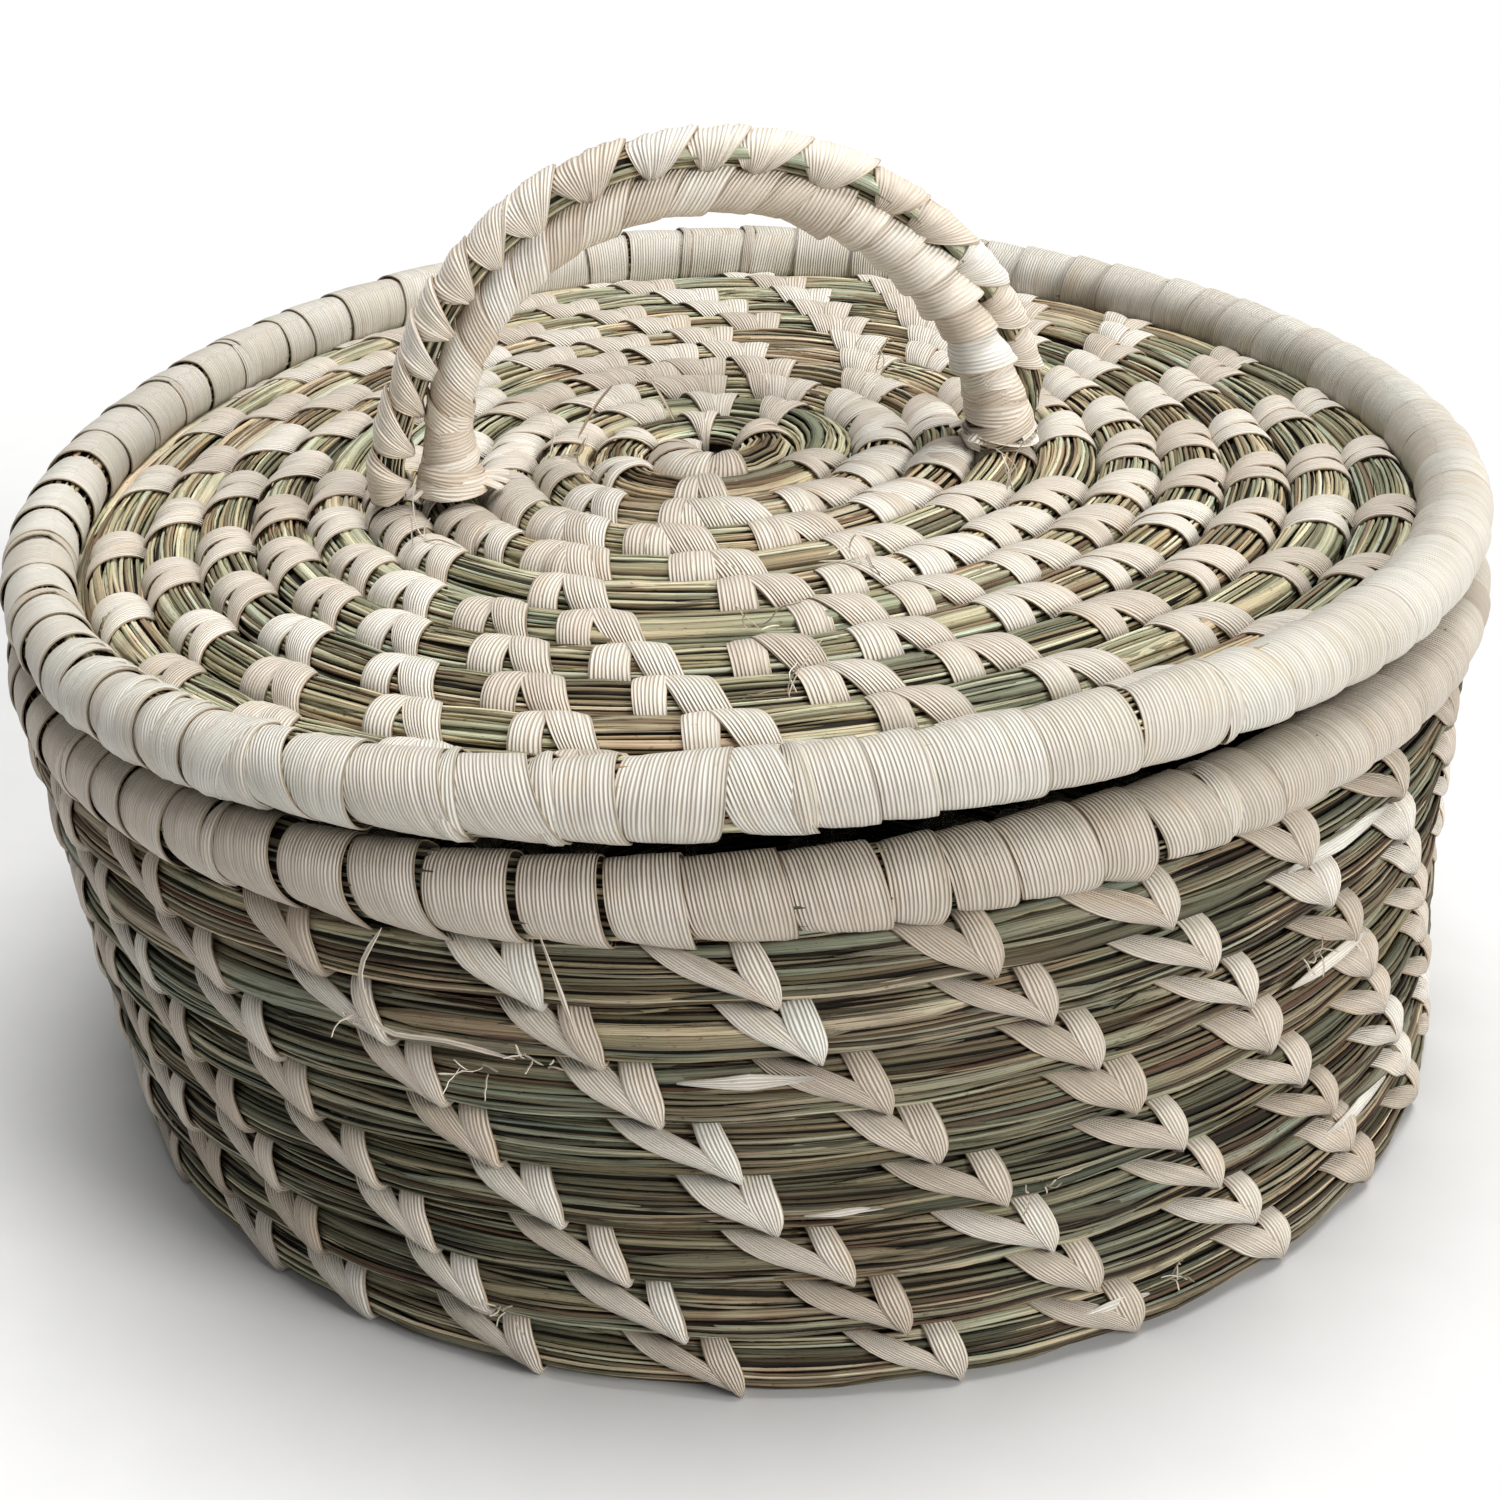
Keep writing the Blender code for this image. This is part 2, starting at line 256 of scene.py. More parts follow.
def skin(path, s, phi, lift):
    """Point, outward normal and forward direction on a coil's skin."""
    values = look_up(path, s)
    cosine, sine = np.cos(phi), np.sin(phi)
    power = path["square"]
    reach = (np.abs(cosine) ** power + np.abs(sine) ** power) ** (-1.0 / power)
    side, up = values[..., 3:6], values[..., 6:9]
    wide, high = values[..., 12], values[..., 13]
    across = (wide + lift) * cosine * reach
    above = (high + lift) * sine * reach
    point = values[..., 0:3] + side * across[..., None] + up * above[..., None]
    bent = np.sign(cosine) * np.abs(cosine) ** (power - 1.0)
    risen = np.sign(sine) * np.abs(sine) ** (power - 1.0)
    normal = unit(side * bent[..., None] + up * risen[..., None])
    return point, normal, values[..., 9:12]


def squeezed(path, s):
    """How far the sewing pulls the bundle in at a place along it."""
    if "squeeze" not in path:
        return 0.0
    return np.interp(s, path["s"], path["squeeze"])


def squeeze(path, places, reach):
    """Press a bundle in at the places where stitches pull on it."""
    fine = np.arange(0.0, path["length"] + 2.0, 1.5)
    pull = np.zeros(len(fine))
    for place in places:
        pull = np.maximum(pull, np.exp(-(((fine - place) / reach) ** 4)))
    path["squeeze"] = PRESSED_IN * np.interp(path["s"], fine, pull)


def s_at_turns(path, turns):
    return np.interp(turns, path["turns"], path["s"])


def wall_path():
    """Level rows, each of which climbs to the next one in a short step."""
    turns = np.arange(1, (WALL_ROWS + STEP_SHARE) * WALL_STEPS) / WALL_STEPS
    row = np.floor(turns)
    climb = smoothstep((turns - row) / STEP_SHARE)
    angle = STEP_START - TURN * turns
    share = np.where(row == 0, climb, np.where(row == WALL_ROWS, 1.0 - climb, 1.0))
    share = np.maximum(share, 0.1)
    half = WALL_PITCH / 2.0
    z = half + WALL_PITCH * (row - 1.0 + climb)
    z = np.where(row == 0, half * share, z)
    z = np.where(row == WALL_ROWS, WALL_HEIGHT - half * share, z)
    centre = wall_point(wall_radius(z) - WALL_INSET, angle, z)
    side = outward(angle)
    wide, high, square = WALL_SECTION
    high = high * share * body_stretch(angle)
    return make_path(centre, side, wide * share, high, turns, square)


def disc_path(edge, clockwise, place, section):
    """A flat spiral that starts as a small curl and ends in a long taper."""
    full_turns = (edge - DISC_TUBE) / DISC_PITCH
    turns = [DISC_START]
    while turns[-1] < full_turns + 1.0:
        most_turns, most_length = DISC_STEP
        turns.append(turns[-1] + min(most_turns, most_length / (TURN * DISC_PITCH * turns[-1])))
    turns = np.array(turns)
    over = np.clip(turns - full_turns, 0.0, 1.0)
    share = np.minimum(1.0, 0.95 * DISC_PITCH * turns / DISC_TUBE) * (1.0 - 0.92 * over)
    radius = np.where(over > 0.0, edge - DISC_TUBE * share, DISC_PITCH * turns)
    angle = TURN * turns * (-1.0 if clockwise else 1.0)
    centre, room = place(radius, angle, share)
    side = outward(angle)
    wide, high, square = section
    return make_path(centre, side, wide * room * share, high * share, turns, square)


def base_place(radius, angle, share):
    """Centre line of the base and the room its coil has."""
    x = FOOT_SHIFT + radius * np.cos(angle)
    return np.stack([x, radius * np.sin(angle), BASE_MIDDLE * share], axis=1), 1.0


def lid_place(radius, angle, _share):
    """Centre line of the lid, whose middle is off centre, and the room its coil has."""
    out = np.minimum(radius / LID_RIM[0], 1.0)
    x = LID_OFF_CENTRE * (1.0 - out * out) + radius * np.cos(angle)
    y = radius * np.sin(angle)
    spread = 2.0 * LID_OFF_CENTRE * radius / LID_RIM[0] ** 2
    room = np.minimum(1.0, 1.0 - spread * np.cos(angle))
    return np.stack([x, y, lid_level(x, y)], axis=1), room


def rim_path(ring, tilt, pair, tube):
    """Closed ring of a rim from its radius and height."""
    angle = np.arange(RIM_POINTS) * TURN / RIM_POINTS
    x, y = ring[0] * np.cos(angle), ring[0] * np.sin(angle)
    z = ring[1] + leaning(tilt, x, y) + saddle(pair, angle)
    side = outward(angle)
    whole = np.full(len(angle), tube)
    return make_path(np.stack([x, y, z], axis=1), side, whole, whole, angle / TURN, closed=True)


def handle_path(arch, outer, tube):
    """Centre line of a handle coil from the left foot to the right foot."""
    share = np.linspace(0.0, 1.0, HANDLE_POINTS)
    turn = math.pi * (1.0 - share)
    height = arch * np.sin(turn)
    across = arch * np.cos(turn) - HANDLE_LEAN * height
    low = smoothstep(1.0 - height / SPLAY_HEIGHT)
    right = share > 0.5
    behind = np.zeros_like(share)
    if outer:
        across = across + np.where(right, RIGHT_SPLAY, -LEFT_SPLAY) * low
        lower_half = smoothstep(1.0 - height / (2.0 * SPLAY_HEIGHT))
        behind = np.where(right, RIGHT_SET_BACK * lower_half, 0.0)
    else:
        across = across + np.where(right, 0.0, INNER_SPLAY) * low
    cosine, sine = math.cos(HANDLE_TURN), math.sin(HANDLE_TURN)
    x = HANDLE_MID[0] + across * cosine - behind * sine
    y = HANDLE_MID[1] + across * sine + behind * cosine
    centre = np.stack([x, y, HANDLE_Z + height], axis=1)
    for end in (0, -1):
        centre[end, 2] = lid_level(centre[end, 0], centre[end, 1]) + DISC_TUBE + 1.5
    out = centre - np.array([HANDLE_MID[0], HANDLE_MID[1], HANDLE_Z])
    out[:, 2] += 1.0
    whole = np.full(len(share), tube)
    return make_path(centre, unit(out), whole, whole, share)


# ---------------------------------------------------------------- meshes

def put(name, data):
    """A new object in the scene."""
    item = bpy.data.objects.new(name, data)
    bpy.context.scene.collection.objects.link(item)
    return item


class Shape:
    """Vertices, faces and surface coordinates of one piece, gathered part by part."""

    def __init__(self):
        self.parts = []
        self.count = 0

    def add(self, points, quads, marks, tints):
        self.parts.append((points, quads + self.count, marks, tints))
        self.count += len(points)

    def make(self, name, material, body, slot, nodes=(), sharp=None):
        points, quads, marks, tints = (np.concatenate(part) for part in zip(*self.parts))
        quads = quads.astype(np.int32)
        if body == "basket":
            # Nothing reaches below the floor, and what is pressed flat is not all in one plane
            points[:, 2] = np.maximum(points[:, 2], 0.02 + 0.05 * np.abs(np.sin(points[:, 0])))
        mesh = bpy.data.meshes.new(name)
        mesh.vertices.add(len(points))
        mesh.vertices.foreach_set("co", (points * MM).astype(np.float32).ravel())
        mesh.loops.add(quads.size)
        mesh.loops.foreach_set("vertex_index", quads.ravel())
        mesh.polygons.add(len(quads))
        mesh.polygons.foreach_set("loop_start", np.arange(0, quads.size, 4, dtype=np.int32))
        for label, kind, part, values in (("strand", "FLOAT_VECTOR", "vector", marks),
                                          ("tint", "FLOAT", "value", tints)):
            layer = mesh.attributes.new(label, kind, "POINT")
            layer.data.foreach_set(part, values.astype(np.float32).ravel())
        mesh.update(calc_edges=True)
        mesh.shade_smooth()
        if sharp:
            mesh.set_sharp_from_angle(angle=math.radians(sharp))
        mesh.materials.append(material)
        item = put(name, mesh)
        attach(item, body)
        if nodes:
            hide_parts(*nodes)

    def make_leaf(self, name, material, body, nodes=(), slot="palm_leaf"):
        """A piece of leaf strips, which have sharp edges."""
        self.make(name, material, body, slot, nodes, LEAF_SHARP)


def ring_quads(here, ahead, size):
    """Quads that join each ring of points in here to the one in ahead."""
    corner = np.arange(size)
    following = (corner + 1) % size
    here, ahead = here[:, None] * size, ahead[:, None] * size
    quads = np.stack([here + corner, here + following, ahead + following, ahead + corner], axis=2)
    return quads.reshape(-1, 4)


def blade_tubes(shape, path, blades, step):
    """Grass blades along a coil, as closed four-sided tubes with thin ends."""
    count = np.maximum(3, np.ceil((blades["to"] - blades["from"]) / step).astype(int) + 1)
    owner = np.repeat(np.arange(len(count)), count)
    first = np.concatenate([[0], np.cumsum(count)[:-1]])
    u = (np.arange(count.sum()) - first[owner]) / (count[owner] - 1.0)

    def per(name):
        return blades[name][owner]

    length = per("to") - per("from")
    s = per("from") + u * length
    bend = np.sin(TURN * (per("waves") * u + per("phase")))
    phi = per("phi") + per("drift") * (u - 0.5) + per("sway") * bend
    lift = per("lift") + 0.18 * np.sin(TURN * (per("waves") * 1.7 * u + per("phase") * 3.0))
    lift = lift - squeezed(path, s)
    point, normal, ahead = skin(path, s, phi, lift)
    cross = unit(np.cross(ahead, normal))
    ends = np.minimum(u, 1.0 - u) * length
    taper = np.clip(ends / per("tip"), 0.08, 1.0)
    half = (per("width") * taper / 2.0)[:, None]
    thick = (per("thick") * np.clip(ends / 2.0, 0.15, 1.0))[:, None]
    tip = np.sin(per("twist") + 0.02 * s)[:, None] * 0.35
    cross = unit(cross + normal * tip)
    normal = unit(normal - cross * np.sum(cross * normal, axis=1, keepdims=True))
    ring = np.stack([point - cross * half, point + normal * thick,
                     point + cross * half, point - normal * thick], axis=1)
    last = np.zeros(len(u), bool)
    last[first + count - 1] = True
    here = np.nonzero(~last)[0]
    corner = np.arange(4)
    caps_in = (first * 4)[:, None] + corner[::-1]
    caps_out = ((first + count - 1) * 4)[:, None] + corner
    quads = np.concatenate([ring_quads(here, here + 1, 4), caps_in, caps_out])
    marks = np.zeros((len(u), 4, 3))
    marks[:, :, 0] = s[:, None]
    marks[:, :, 1] = (per("width") / 2.0)[:, None] * np.array([-1.0, 0.0, 1.0, 0.0])
    marks[:, :, 2] = per("seed")[:, None]
    shape.add(ring.reshape(-1, 3), quads, marks.reshape(-1, 3), np.repeat(per("tint"), 4))


def random_blades(path, arcs, spacing, span, shortest, longest):
    """Blades lying along a coil in lanes, each with a few long crossing ones."""
    start, stop = span
    rows = []
    girth = float(np.mean(path["columns"][:, 12]))
    for low, high in arcs:
        lanes = max(2, round((high - low) * girth * 1.08 / spacing))
        for lane in range(lanes):
            phi = low + (high - low) * (lane + 0.5) / lanes
            s = start - draw(0.0, shortest)
            while s < stop:
                length = draw(shortest, longest)
                kind = RNG.random()
                width = draw(0.5, 1.2)
                lift = draw(-0.5, 0.15)
                drift = near(0.17)
                tint = RNG.random()
                if kind > 0.86:         # lies on top and crosses its neighbours
                    lift = draw(0.05, 0.25)
                    drift = near(0.4)
                    width = draw(0.6, 1.2)
                elif kind < 0.14:       # a wide flat straw
                    width = draw(1.8, 3.6)
                    lift = draw(0.0, 0.2)
                    tint = draw(0.5, 1.0)
                    length = draw(25.0, 120.0)
                begin = max(s, start)
                end = min(s + length, stop)
                if end - begin > 6.0:
                    rows.append({
                        "from": begin, "to": end, "phi": phi + near(0.03), "drift": drift,
                        "lift": lift, "width": width, "tint": tint, "waves": draw(0.4, 2.2),
                        "phase": RNG.random(), "sway": draw(0.01, 0.09), "tip": draw(5.0, 25.0),
                        "twist": draw(0.0, TURN), "seed": RNG.random() * 50.0})
                s += length - draw(-3.0, 12.0)
    blades = {name: np.array([row[name] for row in rows]) for name in rows[0]}
    blades["thick"] = 0.28 + 0.16 * blades["width"] * RNG.random(len(rows))
    return blades


def core_tube(path, shrink):
    """The packed inside of a bundle, as one closed tube, coloured dark as painted shade."""
    shape = Shape()
    count = max(4, int(path["length"] / CORE_STEP))
    s = np.linspace(0.0, path["length"], count, endpoint=not path["closed"])
    phi = np.arange(CORE_SIDES) * TURN / CORE_SIDES
    grid_s, grid_phi = np.meshgrid(s, phi, indexing="ij")
    rough = draw(-CORE_ROUGH, CORE_ROUGH, grid_s.shape)
    point, _, _ = skin(path, grid_s, grid_phi, rough - shrink)
    here = np.arange(count if path["closed"] else count - 1)
    quads = ring_quads(here, (here + 1) % count, CORE_SIDES)
    if not path["closed"]:
        caps = []
        for first in (0, (count - 1) * CORE_SIDES):
            for k in range(CORE_SIDES // 2 - 1):
                last = first + CORE_SIDES - 1 - k
                caps.append([first + k, first + k + 1, last - 1, last])
        quads = np.concatenate([quads, np.array(caps)])
    marks = np.stack([grid_s, grid_phi * 6.0, 0.0 * grid_s], axis=2).reshape(-1, 3)
    shape.add(point.reshape(-1, 3), quads, marks, RNG.random(count * CORE_SIDES) * 0.3)
    return shape


def strip_mesh(shape, outer, normal, across, along, tint, seed, closed, thick=LEAF_THICK):
    """A thin closed strip of leaf from a grid of outer points."""
    rows, columns = outer.shape[:2]
    inner = outer - normal * thick
    ring = np.concatenate([outer, inner[:, ::-1]], axis=1)
    size = 2 * columns
    here = np.arange(rows if closed else rows - 1)
    quads = ring_quads(here, (here + 1) % rows, size)
    if not closed:
        near = np.arange(columns - 1)
        start = np.stack([near, size - 1 - near, size - 2 - near, near + 1], axis=1)
        stop = np.stack([near, near + 1, size - 2 - near, size - 1 - near], axis=1)
        quads = np.concatenate([quads, start, stop + (rows - 1) * size])
    middle = (rows // 3, columns // 2)
    edge = ring[middle[0], middle[1] + 1] - ring[middle]
    forward = ring[middle[0] + 1, middle[1]] - ring[middle]
    if np.dot(np.cross(edge, forward), normal[middle]) < 0.0:
        quads = quads[:, ::-1]
    marks = np.zeros((rows, size, 3))
    marks[:, :, 0] = np.concatenate([across, across[:, ::-1]], axis=1)
    marks[:, :, 1] = along[:, None]
    marks[:, :, 2] = seed
    tints = np.full((rows, size), max(tint, DARKEST_LEAF))
    # The outermost columns take tint 0, the darkest stop: painted shade along the strip's edges,
    # where strips lap over each other.
    if columns > 5:
        tints[:, [0, columns - 1, columns, size - 1]] = 0.0
    shape.add(ring.reshape(-1, 3), quads, marks.reshape(-1, 3), tints.ravel())


def leaf_loop(shape, path, s_from, s_to, phi_from, span, lift, tint, ends=(0.5, 0.5), back=0.8,
              shingle=0.0, cup=0.25, steps=28, columns=9, ease=0.0, fan=None,
              crease=0.07, twist=0.0, tuck=0.0, petal=0.7, early=1.0, turning=-1.0):
    """A leaf strip that goes once round a coil: over its shown side from s_from to
    s_to, and back round the hidden side.  ends are its width shares in the grooves,
    cup, crease and twist bend it, and shingle and tuck lift its following edge."""
    t = np.arange(steps) / steps
    front = t < 0.5
    half_t = np.where(front, t, t - 0.5) / 0.5
    quick = np.where(front, np.clip(half_t / early, 0.0, 1.0), half_t)
    eased = quick + ease * (smoothstep(quick) - quick)
    progress = np.where(front, eased, 1.0 - half_t)
    middle = s_from + (s_to - s_from) * progress
    phi = phi_from + turning * TURN * t
    along = np.where(front, quick, 1.0 - half_t)
    base = ends[0] + (ends[1] - ends[0]) * smoothstep(along)
    bulge = np.maximum(np.sin(math.pi * quick), 0.0) ** np.where(front, petal, 0.7)
    share = base + (np.where(front, 1.0, back) - base) * bulge
    if fan is not None:
        share = fan(phi)
    v = np.concatenate([[-1.0], np.linspace(-EDGE_COLUMN, EDGE_COLUMN, columns - 2), [1.0]])
    ripple = draw(-crease, crease, columns)
    wave = 0.12 * np.sin(TURN * (t * 2.0 + RNG.random()))
    lean = draw(-0.15, 0.15) * np.cos(TURN * t + draw(0.0, TURN))
    lean = lean + twist * np.cos(math.pi * half_t) * front
    s = middle[:, None] + v * (share * span / 2.0)[:, None]
    bow = -cup * np.abs(v) ** 3
    bunch = 0.9 * np.maximum(1.0 - share, 0.0)[:, None] * (1.0 - v ** 2)
    rise = lift + bow + ripple + wave[:, None] + lean[:, None] * v
    rise = rise + shingle * (v + 1.0) / 2.0 + bunch * 0.6
    if early < 1.0:
        rise = rise - (front * 0.5 * smoothstep((half_t - 0.8) / 0.15))[:, None]
    corner = np.maximum(0.0, -np.sin(phi)) ** 8
    rise = rise + tuck * corner[:, None] * (v + 1.0) / 2.0
    outer, normal, _ = skin(path, s, phi[:, None] + 0.0 * s, rise)
    across = np.tile(v * span / 2.0, (steps, 1))
    strip_mesh(shape, outer, normal, across, t * TURN * 6.5, tint, RNG.random() * 60.0, True)


def free_strip(shape, points, width, tint, up=(0.0, 0.0, 1.0), columns=4, curl=0.3, thick=0.22,
               point=8.0):
    """A loose end of leaf or a stray fibre along a free line."""
    points = np.array(points, float)
    line = [points[0]]
    for k in range(len(points) - 1):
        before = points[max(k - 1, 0)]
        after = points[min(k + 2, len(points) - 1)]
        slope_in = (points[k + 1] - before) / 2.0
        slope_out = (after - points[k]) / 2.0
        for share in (0.25, 0.5, 0.75, 1.0):
            square, cube = share ** 2, share ** 3
            spot = points[k] * (2 * cube - 3 * square + 1) + points[k + 1] * (3 * square - 2 * cube)
            spot = spot + slope_in * (cube - 2 * square + share) + slope_out * (cube - square)
            line.append(spot)
    line = np.array(line)
    ahead = unit(np.gradient(line, axis=0))
    cross = unit(np.cross(ahead, np.array(up, float)))
    normal = np.cross(cross, ahead)
    v = np.linspace(-1.0, 1.0, columns)
    u = np.linspace(0.0, 1.0, len(line))
    half = (width / 2.0 * np.clip(np.minimum(u, 1.0 - u) * point + 0.1, 0.1, 1.0))[:, None]
    outer = line[:, None] + cross[:, None] * (v * half)[..., None]
    outer = outer - normal[:, None] * (curl * v ** 2 * half)[..., None]
    grid_normal = np.broadcast_to(normal[:, None], outer.shape)
    across = np.tile(v * width / 2.0, (len(line), 1))
    along = u * np.sum(np.linalg.norm(np.diff(line, axis=0), axis=1))
    strip_mesh(shape, outer, grid_normal, across, along, tint, RNG.random() * 60.0, False, thick)


# ---------------------------------------------------------------- materials

class Nodes:
    """Short calls for building a node material."""

    def __init__(self, name):
        self.material = bpy.data.materials.new(name)
        self.material.use_nodes = True
        self.tree = self.material.node_tree
        self.shader = self.tree.nodes["Principled BSDF"]

    def add(self, kind, **settings):
        node = self.tree.nodes.new("ShaderNode" + kind)
        for key, value in settings.items():
            setattr(node, key, value)
        return node

    def link(self, output, target):
        self.tree.links.new(output, target)

    def feed(self, socket, value):
        if hasattr(value, "is_linked"):
            self.link(value, socket)
        else:
            socket.default_value = value

    def attribute(self, name, output="Vector"):
        return self.add("Attribute", attribute_name=name).outputs[output]

    def math(self, operation, first, second=0.5, third=None):
        node = self.add("Math", operation=operation)
        self.feed(node.inputs[0], first)
        self.feed(node.inputs[1], second)
        if third is not None:
            self.feed(node.inputs[2], third)
        return node.outputs[0]

    def noise(self, vector, stretch, detail, rough):
        """Noise over a vector whose three parts are scaled first."""
        scaled = self.add("VectorMath", operation="MULTIPLY")
        self.feed(scaled.inputs[0], vector)
        self.feed(scaled.inputs[1], stretch)
        node = self.add("TexNoise")
        for name, value in (("Vector", scaled.outputs[0]), ("Scale", 1.0), ("Detail", detail),
                            ("Roughness", rough)):
            self.feed(node.inputs[name], value)
        return node.outputs["Fac"]

    def ramp(self, value, stops):
        node = self.add("ValToRGB")
        elements = node.color_ramp.elements
        while len(elements) < len(stops):
            elements.new(0.5)
        for element, (place, colour) in zip(elements, stops):
            element.position = place
            element.color = (*colour, 1.0)
        self.link(value, node.inputs[0])
        return node.outputs[0]

    def multiply(self, share, first, second):
        """First colour times as much of the second as the share says."""
        node = self.add("Mix", data_type="RGBA", blend_type="MULTIPLY")
        self.feed(node.inputs["Factor"], share)
        self.feed(node.inputs[6], first)
        self.feed(node.inputs[7], second)
        return node.outputs[2]

    def tone(self, colour, share, vector, stretch, detail, rough, stops):
        """Multiply a colour by a ramp over noise, and give the noise too."""
        noise = self.noise(vector, stretch, detail, rough)
        return self.multiply(share, colour, self.ramp(noise, stops)), noise

    def surface(self, colour, rough, specular=0.5):
        self.link(colour, self.shader.inputs["Base Color"])
        self.feed(self.shader.inputs["Roughness"], rough)
        self.feed(self.shader.inputs["Specular IOR Level"], specular)

    def bump(self, height, distance, strength):
        node = self.add("Bump")
        for name, value in (("Height", height), ("Distance", distance), ("Strength", strength)):
            self.feed(node.inputs[name], value)
        self.link(node.outputs[0], self.shader.inputs["Normal"])


def grass_material(name, stops, dark):
    """Dry grass: each blade its own colour, with streaks, dried patches and specks."""
    n = Nodes(name)
    strand = n.attribute("strand")
    colour = n.ramp(n.attribute("tint", "Fac"), stops)
    colour, streaks = n.tone(colour, 1.0, strand, (0.035, 3.6, 3.1), 4.0, 0.65, [
        (0.3, (dark, dark, dark * 0.92)), (0.52, (0.9, 0.9, 0.88)), (0.72, (1.35, 1.32, 1.25))])
    colour, _ = n.tone(colour, 0.8, strand, (0.018, 0.0, 1.7), 2.0, 0.5, [
        (0.38, (0.86, 0.95, 0.92)), (0.62, (1.12, 0.98, 0.86))])
    place = n.add("TexCoord").outputs["Object"]
    colour, _ = n.tone(colour, 0.85, place, (24.0, 24.0, 38.4), 2.0, 0.6, [
        (0.34, (0.78, 0.84, 0.77)), (0.46, (0.98, 1.0, 0.86)), (0.54, (1.1, 1.0, 0.86)),
        (0.64, (1.0, 0.84, 0.75)), (0.7, (1.3, 1.28, 1.15))])
    colour, _ = n.tone(colour, 0.75, strand, (0.5, 1.5, 2.3), 3.0, 0.7, [
        (0.3, (0.3, 0.22, 0.15)), (0.38, (1.0, 1.0, 1.0))])
    n.surface(colour, n.math("MULTIPLY_ADD", streaks, 0.25, 0.45), 0.2)
    n.bump(n.noise(strand, (0.05, 5.0, 1.9), 2.0, 0.5), 0.0005, 0.8)
    return n.material


def leaf_material(name, stops, ribs, fleck_share, rib_shade_and_depth=0.7):
    """Palm leaf: fine parallel ribs with painted shade between them, soft streaks, warm blotches
    and brown flecks.
    """
    n = Nodes(name)
    strand = n.attribute("strand")
    split = n.add("SeparateXYZ")
    n.link(strand, split.inputs[0])
    wander = n.noise(strand, (0.3, 0.05, 1.3), 2.0, 0.5)
    phase = n.math("MULTIPLY_ADD", split.outputs[0], TURN * ribs, n.math("MULTIPLY", wander, 9.0))
    ridge = n.math("MULTIPLY_ADD", n.math("SINE", phase), 0.5, 0.5)
    colour = n.ramp(n.attribute("tint", "Fac"), stops)
    colour, streaks = n.tone(colour, 0.9, strand, (1.7, 0.05, 2.7), 4.0, 0.65, [
        (0.25, (0.72, 0.66, 0.56)), (0.5, (0.96, 0.95, 0.93)), (0.75, (1.08, 1.06, 1.0))])
    # Dark lines along the rib valleys: painted shade between the ribs.
    rib_valley_shade = n.ramp(ridge, [(0.0, (0.62, 0.55, 0.46)), (0.3, (0.97, 0.965, 0.95)),
                           (1.0, (1.04, 1.04, 1.04))])
    colour = n.multiply(rib_shade_and_depth, colour, rib_valley_shade)
    colour, _ = n.tone(colour, 0.8, strand, (0.15, 0.09, 0.9), 3.0, 0.55, [
        (0.3, (0.93, 0.94, 0.9)), (0.55, (1.0, 1.0, 1.0)), (0.75, (1.0, 0.93, 0.82))])
    colour, _ = n.tone(colour, fleck_share, strand, (1.1, 0.35, 4.3), 3.0, 0.7, [
        (0.27, (0.55, 0.4, 0.25)), (0.34, (1.0, 1.0, 1.0))])
    n.surface(colour, n.math("MULTIPLY_ADD", streaks, 0.3, 0.36), 0.4)
    n.bump(n.math("MULTIPLY_ADD", streaks, 0.6, ridge), 0.0004, 0.3 + 0.8 * rib_shade_and_depth)
    return n.material


def core_shade_material():
    """The inside of a bundle, painted near black as the shade deep among its blades."""
    n = Nodes("grass_core_shade")
    streaks = n.noise(n.attribute("strand"), (0.04, 1.2, 1.0), 4.0, 0.7)
    n.surface(n.ramp(streaks, [(0.3, (0.008, 0.006, 0.004)), (0.6, (0.03, 0.023, 0.014)),
                               (0.8, (0.07, 0.06, 0.038))]), 0.9)
    n.bump(streaks, 0.0008, 0.8)
    return n.material


# Blade colours by tint. The basket's ramp is far darker than the lid's: painted shade for the wall,
# which stands under the lid out of the top light, with near-black stops as painted shade in the
# gaps between blades.
SHADED_GRASS_STOPS = [
    (0.0, (0.03, 0.022, 0.016)), (0.1, (0.16, 0.105, 0.08)), (0.2, (0.065, 0.053, 0.037)),
    (0.3, (0.175, 0.155, 0.11)), (0.42, (0.31, 0.275, 0.205)), (0.52, (0.11, 0.107, 0.082)),
    (0.64, (0.24, 0.232, 0.185)), (0.76, (0.41, 0.375, 0.295)), (0.88, (0.29, 0.302, 0.265)),
    (1.0, (0.68, 0.64, 0.54)),
]
LID_GRASS_STOPS = [
    (0.0, (0.09, 0.07, 0.05)), (0.1, (0.26, 0.19, 0.15)), (0.2, (0.14, 0.12, 0.09)),
    (0.3, (0.29, 0.265, 0.195)), (0.42, (0.46, 0.415, 0.32)), (0.52, (0.21, 0.205, 0.16)),
    (0.64, (0.37, 0.36, 0.29)), (0.76, (0.54, 0.51, 0.42)), (0.88, (0.42, 0.435, 0.39)),
    (1.0, (0.66, 0.64, 0.56)),
]
# In the leaf ramps the stop at 0, below DARKEST_LEAF, is painted shade for the edges of strips.
LEAF_STOPS = [
    (0.0, (0.3, 0.23, 0.165)), (DARKEST_LEAF, (0.48, 0.412, 0.345)), (0.4, (0.58, 0.522, 0.462)),
    (0.7, (0.66, 0.615, 0.56)), (1.0, (0.74, 0.72, 0.68)),
]
RIM_STOPS = [
    (0.0, (0.34, 0.28, 0.2)), (DARKEST_LEAF, (0.6, 0.542, 0.465)), (0.4, (0.68, 0.637, 0.575)),
    (0.7, (0.74, 0.715, 0.665)), (1.0, (0.78, 0.775, 0.735)),
]


def brighter(stops, share, most=0.9):
    """The same colours times a share, held below white."""
    return [(place, tuple(min(most, share * part) for part in colour)) for place, colour in stops]
